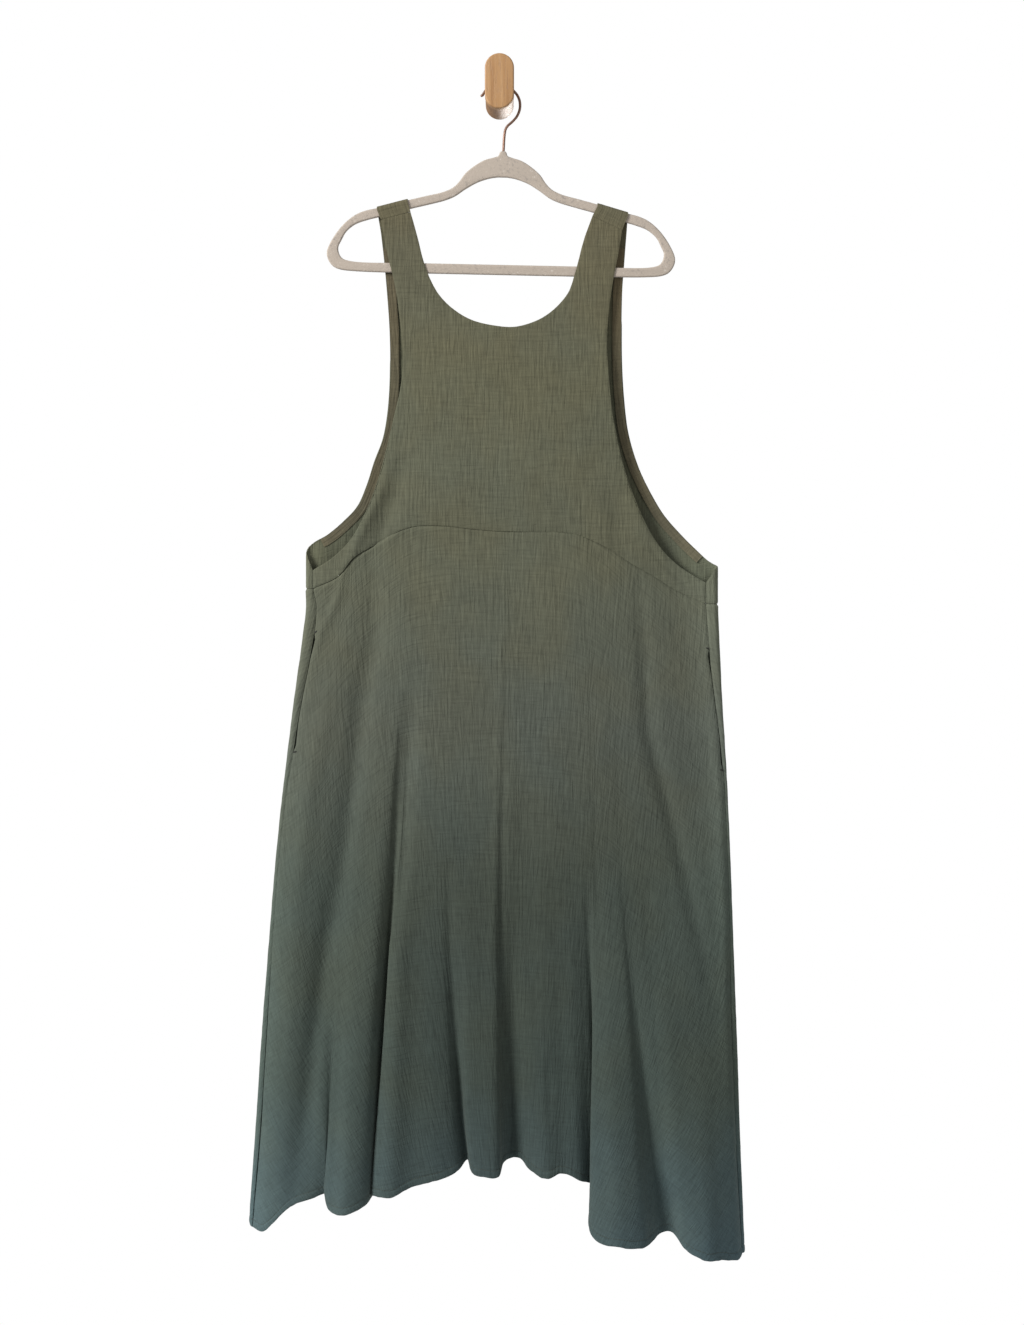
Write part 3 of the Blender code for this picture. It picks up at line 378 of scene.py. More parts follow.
# Distances from the empire seam and from the hem at which the skirts have extra rows
SEAM_ROWS = (0, 0.7, 1.5, 2.6, 4.2, 6.5)
HEM_ROWS = (13, 11.2, 10, 9, 8.2, 6.8, 5, 3, 1.4, 0.5, 0)
HEM_STITCH = 8.6
ROW_STEP = 8.6
SKIRT_LENGTH = 835

# Points of the back's empire seam
BACK_SEAM_POINTS = 61

# Bar tacks at the pocket mouths: length, how far they reach past the seam, threads
TACK_LENGTH = 5
TACK_OVERHANG = 0.6
TACK_THREADS = 4
TACK_PITCH = 0.42

# How far the bodices and the skirts reach into their common seam
BODICE_LAP = 0.35
SKIRT_LAP = 0.25

# Creases of the front skirt: x, z of their lines, half width and height (below the cloth if < 0)
FRONT_CREASES = [
    ([(-161.6, -564.6), (-160.4, -691.4), (-174.3, -767.4), (-189.5, -894.3), (-202.2, -995.7),
      (-221.2, -1097.1), (-239, -1249.3), (-254.2, -1350.7), (-268, -1477)], 15, -6.8),
    ([(-195.8, -660), (-214.9, -767.4), (-243, -894.3), (-258, -1046.4), (-268.1, -1198.6),
      (-277, -1312.7)], 15, 3),
    ([(-198, -600), (-205, -635), (-216, -660), (-230, -684), (-242, -709)],
     5.5, 2.6),
    ([(178.2, -620), (183.3, -704.1), (190, -805.5), (201, -849.9), (215, -900.6),
      (240, -1002), (264, -1122.5)], 11, -4.6),
    ([(283, -720), (291, -894.3), (301, -1147.9), (307, -1400)], 15, 5),
    ([(163, -1010), (174, -1090), (190, -1200), (203, -1300), (212, -1410)],
     27, 10.5),
    ([(4.5, -640.7), (0.5, -780), (-3.1, -932.2), (-9.5, -1084.3), (-5.6, -1211.1)], 5, 0.8),
    ([(13, -860), (12, -1000), (10, -1150), (13, -1310)], 9, 3.2),
    ([(31.1, -930), (38.7, -1059.1), (51.4, -1224), (61.5, -1330)], 17, -2.6),
    ([(79.3, -1120), (86.9, -1236.6), (94.5, -1345)], 16, -1.6),
    ([(114.8, -1130), (117.3, -1365)], 6, 2.4),
    ([(62.8, -1213.6), (62.8, -1310)], 5, -1.2),
    ([(-112, -770), (-118, -850), (-121.5, -920), (-124, -985), (-131, -1060)],
     11, -7.5),
    ([(-52.6, -1060), (-48.8, -1147.9), (-47.5, -1240), (-50, -1300)], 6, -2.4),
    ([(-224, -1190), (-218, -1480)], 11, 6.5),
]

# Creases of the front bodice
BODICE_CREASES = [
    ([(-133, -455), (-150, -500), (-170, -540), (-188, -580), (-206, -635)],
     8, 2.8),
    ([(-124, -470), (-138, -520), (-152, -560), (-168, -660)], 12, -3),
    ([(158, -490), (176, -535), (200, -580), (222, -610)], 8, 1.8),
    ([(186, -560), (202, -588), (222, -607), (236, -618)], 4.5, -1.6),
    ([(144, -500), (152, -560), (158, -600)], 13, -2),
]

# How far a crease stays away from a side seam
CREASE_SIDE = 7

# How a crease fades towards its ends: the shares of it that stand for its ends, and the power
CREASE_ENDS = (0.04, 0.96)
CREASE_FADE = 0.6

# Crinkle: width and height of the cells of its pleats' shift and strength, threads and wefts, the
# distance between two pleats, and heights
CRINKLE_CELLS = ((14, 80), (9, 40), (3, 30), (22, 4.5))
PLEAT_PITCH = 5.6
PLEAT_HEIGHT = 0.15
THREAD_HEIGHT = 0.16
WEFT_HEIGHT = 0.07

# Ridges and grooves of the skirts: height, distance from the empire seam, the side seam or the
# hem, and width
SEAM_RIM = (0.4, 4.6, 1.8)
SEAM_GROOVE = (-1.3, 0, 1.9)
SIDE_GROOVE = (-0.7, 0, 1.7)
STITCH_GROOVE = (-0.55, HEM_STITCH, 1.1)
HEM_EDGE = (-0.5, 0, 0.9)

# How the skirts' weave spreads downwards, the height at which it is even, and how its wefts bow
WARP_FLARE = 0.00045
WARP_FLARE_Z = -1000
WEFT_BOW = 0.0009

# Points and sides of the hard parts
HANGER_OUTER_POINTS = 121
HANGER_INNER_POINTS = 101
WIRE_RINGS = 151
WIRE_SIDES = 20
ARC_POINTS = 49
ROUND_SEGMENTS = 96

# Angles from which an edge is sharp
CLOTH_SHARP = 65
PLATE_SHARP = 40

# Rings of a stitch: place along it as a share of its length, height over the cloth in diameters,
# size. How far ahead and behind its direction is taken.
STITCH_PROFILE = (
    (-0.5, -0.5, 0.55), (-0.3, 0.05, 0.95), (0, 0.2, 1), (0.3, 0.05, 0.95), (0.5, -0.5, 0.55),
)
STITCH_SIDES = 6
STITCH_AIM = 0.4


def clamp(value):
    return np.clip(value, 0, 1)


def ease(value):
    """0 to 1 with level ends."""
    t = clamp(value)
    return t * t * (3 - 2 * t)


def blend(a, b, share):
    return a + (b - a) * share


def bell(distance, width):
    """1 at distance 0, falling away over about twice the width."""
    return np.exp(-((distance / width) ** 2))


def unit(vectors):
    return vectors / np.maximum(np.linalg.norm(vectors, axis=-1, keepdims=True), 1e-9)


def stacked(*axes):
    return np.stack(np.broadcast_arrays(*axes), axis=-1)


def walked(spots, axis=0):
    """Distance walked along an axis of a line or grid of points."""
    steps = np.linalg.norm(np.diff(spots, axis=axis), axis=-1)
    return np.insert(np.cumsum(steps, axis=axis), 0, 0, axis=axis)


def along_line(place, walk, line):
    """Points of a line at distances along it."""
    return stacked(*(np.interp(place, walk, axis) for axis in line.T))


def spline(points, at):
    """Centripetal curve through each row of an array of points, whose point i lies at `at` = i."""
    at = np.asarray(at)
    last = points.shape[1] - 1
    i = np.minimum(at.astype(int), last - 1)
    b, c = points[:, i], points[:, i + 1]
    first, final = (i == 0)[None, :, None], (i == last - 1)[None, :, None]
    a = np.where(first, 2 * b - c, points[:, np.maximum(i - 1, 0)])
    d = np.where(final, 2 * c - b, points[:, np.minimum(i + 2, last)])
    knots = [np.sqrt(np.linalg.norm(q - p, axis=2, keepdims=True)) for p, q in ((a, b), (b, c), (c, d))]
    t0, (t1, t2, t3) = 0, np.cumsum(knots, axis=0)
    t = blend(t1, t2, (at - i)[None, :, None])

    def between(p, q, start, end):
        return (p * (end - t) + q * (t - start)) / (end - start)

    ab, bc, cd = between(a, b, t0, t1), between(b, c, t1, t2), between(c, d, t2, t3)
    return between(between(ab, bc, t0, t2), between(bc, cd, t1, t3), t1, t2)


# Steps of a line from one of its points to the next
LINE_STEPS = 12


class Line:
    """A smooth line through points, read by its share of length or by its x."""

    def __init__(self, points, steps=LINE_STEPS):
        at = np.arange((len(points) - 1) * steps + 1) / steps
        self.points = spline(np.array([points], dtype=float), at)[0]
        self.reach = walked(self.points)

    def at_length(self, length):
        return along_line(length, self.reach, self.points)

    def at(self, share):
        return self.at_length(share * self.reach[-1])

    def at_x(self, x):
        """The other coordinate where the line, which runs to the right, passes x."""
        return np.interp(x, *self.points.T)

    def length_at(self, x):
        """Distance along the line where it first passes x on its way to the right."""
        a, b = self.points[:-1, 0], self.points[1:, 0]
        i = np.argmax((a <= x) & (x < b))
        return blend(self.reach[i], self.reach[i + 1], (x - a[i]) / (b[i] - a[i]))


def parted(points, at):
    """Both stretches of the line through `points`, which part at its point number `at`."""
    whole, cut = Line(points).points, at * LINE_STEPS
    return Line(whole[: cut + 1], 1), Line(whole[cut:], 1)


def armholes(left, right, narrowest):
    """Upper and lower parts of both armholes; the lowers run from left to right."""
    left_upper, left_lower = parted(left, narrowest)
    right_upper, right_lower = parted(right, narrowest)
    return [left_upper, right_upper], [Line(left_lower.points[::-1], 1), right_lower]


EMPIRE = Line(EMPIRE_SEAM)
SECTION = Line(BACK_SECTION)
ARM_TOP = Line(HANGER_OUTER[:11])
SIDE_BENDS = (Line(SIDE_BEND_LEFT), Line(SIDE_BEND_RIGHT))


def arm_top(x):
    """Height of the hanger's upper edge."""
    tilt = math.radians(HANGER_TILT)
    offset = x - HANGER_TOP[0]
    along = abs(offset + ARM_DROP * math.sin(tilt))
    return HANGER_TOP[1] + ARM_TOP.at_x(along) - math.tan(tilt) * offset


def front_depth(x, z):
    """Depth of the front bodice: level with the straps above, bowed at the empire seam."""
    side = clamp(abs(x - FRONT_CENTRE_X) / FRONT_HALF_WIDTH)
    bowed = blend(FRONT_MIDDLE_Y, FRONT_SIDE_Y, side * side)
    return blend(STRAP_FRONT_Y, bowed, ease((FRONT_BOW_TOP - z) / FRONT_BOW_LENGTH))


def front_place(x, z):
    return stacked(x, front_depth(x, z), z)


def back_place(reach, z):
    """Points of the back bodice at distances along its cross-section."""
    spot = SECTION.at_length(reach)
    settled = ease((STRAP_SETTLE_TOP - z) / STRAP_SETTLE_LENGTH)
    strap = blend(STRAP_BACK_Y, STRAP_LOW_Y, settled)
    depth = blend(strap, spot[..., 1], ease((BACK_BOW_TOP - z) / BACK_BOW_LENGTH))
    return stacked(spot[..., 0], depth, z)


class Bodice:
    """Flat plan of a bodice: two straps beside a neckline over one wide piece.

    Its columns run from left to right through five stretches: the left armhole, the left strap,
    the neckline, the right strap and the right armhole. The armholes' first `wrap` lies round the
    side, where the columns stand upright.
    """

    def __init__(self, neck, uppers, lowers, seam, neck_shares, wrap, seam_stops):
        self.neck, self.uppers, self.lowers, self.seam = neck, uppers, lowers, seam
        self.neck_shares, self.wrap = neck_shares, wrap
        self.wrap_columns = WRAP_COLUMNS if wrap else 0
        side = self.wrap_columns + ARMHOLE_COLUMNS
        self.stops = [0, self.wrap_columns, side, side + STRAP_COLUMNS]
        self.columns = 2 * self.stops[3] + NECK_COLUMNS
        self.stops += [self.columns - stop for stop in reversed(self.stops)]
        start, end = seam.points[0, 0], seam.points[-1, 0]
        self.seam_stops = [start, start + wrap, *seam_stops, end - wrap, end]

    def bottom(self, columns):
        """Points of the lower edge."""
        x = np.interp(columns, self.stops, self.seam_stops)
        return stacked(x, self.seam.at_x(x))

    def lower_armhole(self, side, columns):
        """Points of an armhole's lower part, `columns` counted from the side seam."""
        edge, turn = self.lowers[side], 1 - 2 * side
        seam_x, length = edge.points[-side, 0], edge.reach[-1]
        first = edge.length_at(seam_x + turn * self.wrap) if self.wrap else length * side
        share = (columns - self.wrap_columns) / ARMHOLE_COLUMNS
        spots = edge.at_length(blend(first, length * (1 - side), share))
        if self.wrap:
            x = seam_x + turn * self.wrap * columns / self.wrap_columns
            upright = (columns < self.wrap_columns)[:, None]
            spots = np.where(upright, stacked(x, edge.at_x(x)), spots)
        return spots

    def straps(self, columns, down):
        """Points of both straps, and of the straight lines that carry on beside them."""
        first, last = self.neck_shares
        neck_at = (first * down, 1 - (1 - last) * down)
        across = (columns - self.stops[2], self.stops[5] - columns)
        left, right = (
            blend(self.uppers[i].at(down), self.neck.at(neck_at[i]), across[i][:, None] / STRAP_COLUMNS)
            for i in (0, 1)
        )
        return np.where((columns <= self.stops[3])[:, None], left, right)

    def top(self, columns):
        """Points of the chest's upper edge: armhole, strap, neckline, strap, armhole."""
        stops = self.stops
        neck = self.neck.at(blend(*self.neck_shares, (columns - stops[3]) / NECK_COLUMNS))
        on_strap = (columns < stops[3]) | (columns > stops[4])
        spots = np.where(on_strap[:, None], self.straps(columns, 1), neck)
        spots = np.where((columns <= stops[2])[:, None], self.lower_armhole(0, columns), spots)
        right = self.lower_armhole(1, self.columns - columns)
        return np.where((columns >= stops[5])[:, None], right, spots)

    def spots(self, rows, fine, place):
        """Fine grid of the bodice: its points in space and its flat plan."""
        columns = np.arange(self.columns * fine + 1) / fine
        top, bottom = self.top(columns), self.bottom(columns)
        flat = np.array([
            self.straps(columns, row / STRAP_ROWS) if row < STRAP_ROWS
            else blend(top, bottom, (row - STRAP_ROWS) / CHEST_ROWS)
            for row in rows
        ])
        return place(flat[..., 0], flat[..., 1]), flat

    def kept(self, rows, fine):
        """Cells of a fine grid that lie neither above an armhole nor above the neckline."""
        column, stops = np.arange(self.columns * fine) // fine, self.stops
        beside = (column < stops[2]) | (column >= stops[5])
        inside = (column >= stops[3]) & (column < stops[4])
        middles = (np.array(rows)[1:] + np.array(rows)[:-1]) / 2
        return ~((middles < STRAP_ROWS)[:, None] & (beside | inside)[None])


def bend_sides(x, share, parts_of_bend):
    """Moves the fold points beside both side seams with the seams."""
    for side, parts in enumerate(parts_of_bend):
        bend = SIDE_BENDS[side].at_x(share[:, 0] * SIDE_LENGTH)
        for i, part in enumerate(parts):
            x[:, -1 - i if side else i] += bend * part


def skirt_folds(shares, table, bend_shares):
    """Shares as a column, x and z of fold points at them, and the growth of folds from `start`."""
    share = np.array(shares)[:, None]
    x = blend(table["top"], table["foot"], share) + table["lean"] * 4 * share * (1 - share)
    growth = clamp((share - table["start"]) / (1 - table["start"])) ** FOLD_GROWTH
    x = x + table.get("back", 0) * growth**LAP_GROWTH
    bend_sides(x, share, bend_shares)
    return share, x, blend(EMPIRE.at_x(table["top"]) - SEAM_GAP / 2, table["z"], share), growth


def front_folds(shares, open_mouths=True):
    """Fold points of the front skirt at shares of its length."""
    table = dict(zip(("top", "foot", "lean", "back", "y", "z", "start"), np.array(FRONT_FOLDS).T))
    share, x, z, growth = skirt_folds(shares, table, FRONT_BEND_SHARES)
    upper = front_depth(table["top"], EMPIRE_SEAM[0][1])
    side = clamp(abs(table["foot"]) / HEM_HALF_WIDTH) ** HEM_SIDE_FALL
    lower = blend(HEM_MIDDLE_Y, HEM_SIDE_Y, side)
    if open_mouths:
        opening = np.interp(shares, *zip(*MOUTH))
        x[:, 0] += opening
        x[:, -1] -= opening
    return stacked(x, blend(upper, lower, share) + (table["y"] - lower) * growth, z)


def back_folds(shares):
    """Fold points of the back skirt at shares of its length."""
    table = dict(zip(("top", "top_y", "foot", "lean", "y", "z"), np.array(BACK_FOLDS).T))
    table["start"] = BACK_FOLD_START
    share, x, z, growth = skirt_folds(shares, table, BACK_BEND_SHARES)
    middle = table["y"].copy()
    folded = slice(SIDE_FOLDS, -SIDE_FOLDS)
    middle[folded] = (table["top_y"][folded] + BACK_HEM_Y) / 2
    return stacked(x, blend(table["top_y"], middle, share) + (table["y"] - middle) * growth, z)


def front_plan():
    """Flat plan of the front bodice, in its own x and z."""
    seam = Line([(x, z + SEAM_GAP / 2) for x, z in EMPIRE_SEAM])
    neck = Line([(x, z - SEAM_GAP / 2) for x, z in FRONT_NECK])
    uppers, lowers = armholes(FRONT_ARMHOLE_LEFT, FRONT_ARMHOLE_RIGHT, NARROWEST)
    return Bodice(neck, uppers, lowers, seam, FRONT_NECK_SHARES, 0, FRONT_STOPS)


def on_section(points):
    """Points in x and z as points in distance along the back's cross-section and z."""
    return [(SECTION.length_at(x), z) for x, z in points]


def back_armholes():
    """Both armholes of the back, from the strap down and round to the side seam on the front."""
    right = [(SECTION.reach[-1] - reach, z) for reach, z in WRAP_ARMHOLE_RIGHT]
    return on_section(BACK_ARMHOLE_LEFT) + WRAP_ARMHOLE_LEFT, on_section(BACK_ARMHOLE_RIGHT) + right


def back_plan():
    """Flat plan of the back bodice, whose x is the distance along its cross-section."""
    reach = SECTION.reach[-1] * np.linspace(0, 1, BACK_SEAM_POINTS)
    seam = stacked(reach, EMPIRE.at_x(SECTION.at_length(reach)[:, 0]) + SEAM_GAP / 2)
    uppers, lowers = armholes(*back_armholes(), NARROWEST - 1)
    stops = [SECTION.length_at(x) for x in BACK_STOPS]
    neck = Line(on_section(BACK_NECK))
    return Bodice(neck, uppers, lowers, Line(seam, 2), BACK_NECK_SHARES, SIDE_WRAP, stops)


def over_arm(side, across, row):
    """Points of a back strap from the shoulder seam in front, over the arm, to the back."""
    (outer_x, outer_z, inner_x, inner_z), arm = SHOULDERS[side]
    top_x = blend(*arm, across)
    bend_z = arm_top(top_x) - HANGER_THICKNESS / 2
    if row < ARM_FRONT_ROWS:
        up = row / ARM_FRONT_ROWS
        seam_z = blend(outer_z, inner_z, across) + SEAM_GAP / 2
        x = blend(blend(outer_x, inner_x, across), top_x, up)
        return stacked(x, STRAP_FRONT_Y, blend(seam_z, bend_z, up))
    turn = math.pi * (1 - (row - ARM_FRONT_ROWS) / ARM_BEND_ROWS)
    height = bend_z + STRAP_BEND * math.sin(turn)
    return stacked(top_x, HANGER_Y + STRAP_BEND * math.cos(turn), height)


def lattice_noise(x, y, seed):
    """Smooth noise from -1 to 1 over arrays of places, one unit from lattice point to point."""
    size = 256
    table = np.random.default_rng(seed).uniform(-1, 1, (size, size))
    column, row = np.floor(x).astype(int), np.floor(y).astype(int)
    across, down = ease(x - column), ease(y - row)
    left, right = column % size, (column + 1) % size
    top, bottom = row % size, (row + 1) % size
    upper = blend(table[top, left], table[top, right], across)
    lower = blend(table[bottom, left], table[bottom, right], across)
    return blend(upper, lower, down)


def crinkle(u, v, seed):
    """Height of the gauze's crinkle, whose fine pleats run down the warp."""
    shift, strength, threads, wefts = (
        lattice_noise(u / wide, v / high, seed + i) for i, (wide, high) in enumerate(CRINKLE_CELLS)
    )
    pleats = (0.55 + 0.45 * strength) * np.sin(2 * np.pi * (u / PLEAT_PITCH + 0.8 * shift))
    return PLEAT_HEIGHT * pleats + THREAD_HEIGHT * threads + WEFT_HEIGHT * wefts


def crease_height(x, z, creases):
    """Summed height of creases at arrays of places."""
    height = np.zeros_like(x)
    for line, width, depth in creases:
        nearest, along, start = np.full_like(x, np.inf), np.zeros_like(x), 0
        for (ax, az), (bx, bz) in zip(line, line[1:]):
            length = math.hypot(bx - ax, bz - az)
            t = clamp(((x - ax) * (bx - ax) + (z - az) * (bz - az)) / length**2)
            gap = np.hypot(x - ax - t * (bx - ax), z - az - t * (bz - az))
            along = np.where(gap < nearest, start + t * length, along)
            nearest = np.minimum(gap, nearest)
            start += length
        fade = np.sin(np.pi * np.clip(along / start, *CREASE_ENDS)) ** CREASE_FADE
        height += depth * fade * bell(nearest, width)
    return height


def ridge(distance, height, place, width):
    """Height of a ridge, or of a groove if it is negative, at distances from an edge."""
    return height * bell(distance - place, width)


def normals(spots, outward):
    return unit(np.cross(np.gradient(spots, axis=1), np.gradient(spots, axis=0)) * outward)


def linked(name, data):
    made = bpy.data.objects.new(name, data)
    bpy.context.scene.collection.objects.link(made)
    return made


def new_object(name, data, surface, node=None):
    """A visible piece, which takes the place of a node where one is named."""
    data.name = name
    data.materials.clear()
    data.materials.append(surface)
    made = linked(name, data)
    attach(made, "root")
    if node:
        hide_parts(node)
    return made


def evaluated(thing):
    """Mesh of an object after its modifiers; the object itself is removed."""
    bpy.context.view_layer.update()
    shape = thing.evaluated_get(bpy.context.evaluated_depsgraph_get())
    data = bpy.data.meshes.new_from_object(shape)
    bpy.data.objects.remove(thing)
    return data


def smooth(data, angle):
    data.shade_smooth()
    data.set_sharp_from_angle(angle=math.radians(angle))


def mend(data, weld=0):
    """Points the faces of a mesh outwards, and first welds points within a distance in mm."""
    mended = bmesh.new()
    mended.from_mesh(data)
    if weld:
        bmesh.ops.remove_doubles(mended, verts=mended.verts, dist=weld * MM)
    bmesh.ops.recalc_face_normals(mended, faces=mended.faces)
    mended.to_mesh(data)
    mended.free()


def cloth(name, spots, u, v, surface, kept=True, thickness=CLOTH):
    """Cloth wall that dresses the node `name`, from a grid of points in mm. The UV map holds u
    and v of the weave."""
    rows, columns = spots.shape[:2]
    index = np.arange(rows * columns).reshape(rows, columns)
    quads = np.stack([index[:-1, :-1], index[:-1, 1:], index[1:, 1:], index[1:, :-1]], axis=2)
    quads = quads[np.broadcast_to(kept, (rows - 1, columns - 1))]
    used, quads = np.unique(quads, return_inverse=True)
    quads = quads.reshape(-1, 4)
    data = bpy.data.meshes.new(name)
    data.from_pydata((spots.reshape(-1, 3)[used] * MM).tolist(), [], quads.tolist())
    weave = stacked(u, v).reshape(-1, 2)[used] * MM
    data.uv_layers.new(name="weave").data.foreach_set("uv", weave[quads.reshape(-1)].reshape(-1))
    data.validate()
    flat = linked(name + "_flat", data)
    wall = flat.modifiers.new("wall", "SOLIDIFY")
    wall.thickness = thickness * MM
    wall.offset = 0
    solid = evaluated(flat)
    smooth(solid, CLOTH_SHARP)
    return new_object(name + "_cloth", solid, surface, name)


def tubes(name, runs, surface, node=None):
    """Capped tubes, each from an array of rings of points in mm."""
    points, faces = [], []
    for rings in runs:
        index = len(points) + np.arange(rings[..., 0].size).reshape(rings.shape[:2])
        turned = np.roll(index, -1, axis=1)
        sides = np.stack([index[:-1], turned[:-1], turned[1:], index[1:]], axis=2)
        points += (rings.reshape(-1, 3) * MM).tolist()
        faces += [*sides.reshape(-1, 4).tolist(), index[0, ::-1].tolist(), index[-1].tolist()]
    data = bpy.data.meshes.new(name)
    data.from_pydata(points, [], faces)
    mend(data)
    data.shade_smooth()
    return new_object(name, data, surface, node)


def ring_turns(sides):
    """Cosines and sines of the corners of a ring, as columns."""
    angle = 2 * np.pi * np.arange(sides)[:, None] / sides
    return np.cos(angle), np.sin(angle)


def stitches(name, rows, surface, pitch=3.2, length=2.3, radius=0.3, lift=0.75):
    """Rows of stitches, each along a path in mm with the cloth's normals: short threads that dip
    into the cloth at both ends."""
    along, rise, size = np.array(STITCH_PROFILE).T
    cosines, sines = ring_turns(STITCH_SIDES)
    runs = []
    for path, normal in rows:
        walk = walked(path)
        middles = (np.arange(int(walk[-1] / pitch)) + 0.5) * pitch
        place = middles[:, None] + along * length
        up = unit(along_line(place, walk, normal))
        run = along_line(place + STITCH_AIM, walk, path) - along_line(place - STITCH_AIM, walk, path)
        cross = np.cross(unit(run), up)[..., None, :]
        spot = along_line(place, walk, path) + up * (lift + rise * radius * 2)[:, None]
        ring = (cross * cosines + up[..., None, :] * sines) * (radius * size)[:, None, None]
        runs += list(spot[..., None, :] + ring)
    return tubes(name, runs, surface)


class Nodes:
    """A material's nodes, made and linked in one call each."""

    def __init__(self, name):
        self.material = bpy.data.materials.new(name)
        self.material.use_nodes = True
        self.tree = self.material.node_tree
        geometry = self.add("ShaderNodeNewGeometry")
        self.place, self.normal = geometry.outputs["Position"], geometry.outputs["Normal"]

    def add(self, kind, inputs=None, **settings):
        node = self.tree.nodes.new(kind)
        for key, value in settings.items():
            setattr(node, key, value)
        for key, value in (inputs or {}).items():
            self.put(node.inputs[key], value)
        return node

    def put(self, socket, value):
        if isinstance(value, bpy.types.NodeSocket):
            self.tree.links.new(value, socket)
        elif socket.type == "RGBA":
            socket.default_value = (*value, 1)
        else:
            socket.default_value = value

    def math(self, operation, *values, clamped=False):
        inputs = dict(enumerate(values))
        return self.add("ShaderNodeMath", inputs, operation=operation, use_clamp=clamped).outputs[0]

    def total(self, start, *terms):
        """A number plus values, each times its weight."""
        for value, weight in terms:
            start = self.math("MULTIPLY_ADD", value, weight, start)
        return start

    def axis(self, vector, name):
        return self.add("ShaderNodeSeparateXYZ", {0: vector}).outputs[name]

    def noise(self, scale, detail=2, roughness=0.5, offset=(0, 0, 0), place=None):
        """Noise from 0 to 1, `scale` cells per metre along each axis."""
        scale = scale if isinstance(scale, tuple) else (scale,) * 3
        inputs = {"Vector": place or self.place, "Scale": scale, "Location": offset}
        place = self.add("ShaderNodeMapping", inputs).outputs[0]
        inputs = {"Vector": place, "Scale": 1, "Detail": detail, "Roughness": roughness}
        return self.add("ShaderNodeTexNoise", inputs).outputs["Fac"]

    def spread(self, value, source, target=(0, 1)):
        """Value mapped from one range to another and held at its ends."""
        names = ("Value", "From Min", "From Max", "To Min", "To Max")
        inputs = dict(zip(names, (value, *source, *target)))
        return self.add("ShaderNodeMapRange", inputs).outputs[0]

    def mix(self, share, a, b, mode="MIX"):
        node = self.add("ShaderNodeMix", data_type="RGBA", blend_type=mode)
        self.put(node.inputs["Factor"], share)
        for socket, value in zip([s for s in node.inputs if s.type == "RGBA"], (a, b)):
            self.put(socket, value)
        return [s for s in node.outputs if s.type == "RGBA"][0]

    def times(self, a, b):
        return self.mix(1, a, b, "MULTIPLY")

    def grey(self, value):
        return self.add("ShaderNodeCombineColor", {0: value, 1: value, 2: value}).outputs[0]

    def ramp(self, value, stops):
        node = self.add("ShaderNodeValToRGB", {"Fac": value})
        band = node.color_ramp
        while len(band.elements) < len(stops):
            band.elements.new(0.5)
        for element, (place, colour) in zip(band.elements, stops):
            element.position = place
            element.color = (*colour, 1)
        return node.outputs["Color"]

    def finish(self, colour, relief, depth, roughness, **others):
        """The material, with a relief of a depth in metres."""
        bump = self.add("ShaderNodeBump", {"Height": relief, "Distance": depth, "Strength": 1})
        inputs = {"Base Color": colour, "Normal": bump.outputs["Normal"], "Roughness": roughness}
        inputs |= {name.replace("_", " "): value for name, value in others.items()}
        for name, value in inputs.items():
            self.put(self.tree.nodes["Principled BSDF"].inputs[name], value)
        return self.material


# Gauze colour from shoulders to hem, its own drift plus painted shade lower down: height, colour
GAUZE_DRIFT_AND_SHADE = [
    (-0.1, (0.12, 0.107, 0.065)),
    (-0.35, (0.11, 0.11, 0.07)),
    (-0.6, (0.1, 0.104, 0.071)),
    (-0.8, (0.08, 0.089, 0.07)),
    (-1, (0.057, 0.071, 0.057)),
    (-1.25, (0.049, 0.066, 0.056)),
    (-1.47, (0.054, 0.085, 0.093)),
]


# Painted light on the dress's sides: its middle line, the half width at height 0 and its growth
# downwards, the shares of it between which the sides grow lighter, and how light they get
MIDDLE = (0, 0.2035, -0.075)
PAINTED_LIGHT_SIDES = (0.88, 1.03)
SIDE_PAINTED_LIGHT = 1.38

# Painted shade on its lower middle: between which heights, between which distances from the middle line
MIDDLE_SHADE_HEIGHTS = (-0.86, -1.02)
MIDDLE_SHADE_REACH = (0.2, 0.06)
MIDDLE_PAINTED_SHADE = 0.22

# Painted shade on the cloth's inside, against its outside, and how far back it starts
INSIDE_PAINTED_SHADE = (0.93, 0.95, 0.93)
INSIDE_Y = (-0.0295, -0.0275)

# Where the normal turns from the outside to the inside
INSIDE_FACING = (0.15, -0.15)

# Noises of the weave, in cells per metre across and along, with their detail and offset: pleats,
# wefts, folds, tucks, warp threads, weft threads, clouds
WEAVE = [
    ((390, 42), 2, (0, 0)),
    ((34, 340), 2, (3, 7)),
    ((13, 100), 1, (31, 37)),
    ((150, 12), 1, (23, 29)),
    ((820, 55), 1, (11, 2)),
    ((55, 820), 1, (5, 13)),
    ((14, 8), 2, (17, 19)),
]

# How much of its relief and of its light and dark come from the pleats, wefts, warp threads, weft
# threads, clouds and gaps, and the shade that all of them start from
WEAVE_RELIEF = (1.3, 0.75, 0.25, 0.2, 0, -0.35)
# The light and dark follow the relief: the weave's own uneven tone, with painted shade in its low
# pleats and gaps
WEAVE_TONE_AND_SHADE = (0.51, 0.41, 0.28, 0, 0.16, -0.07)
WEAVE_SHADE = 0.34

# Oak: share of the grain, colour. Depths between which painted shade darkens it towards its back.
OAK = [(0.3, (0.32, 0.163, 0.066)), (0.47, (0.44, 0.245, 0.108)), (0.66, (0.54, 0.325, 0.158))]
OAK_SHADE_Y = (-0.0388, -0.0376)


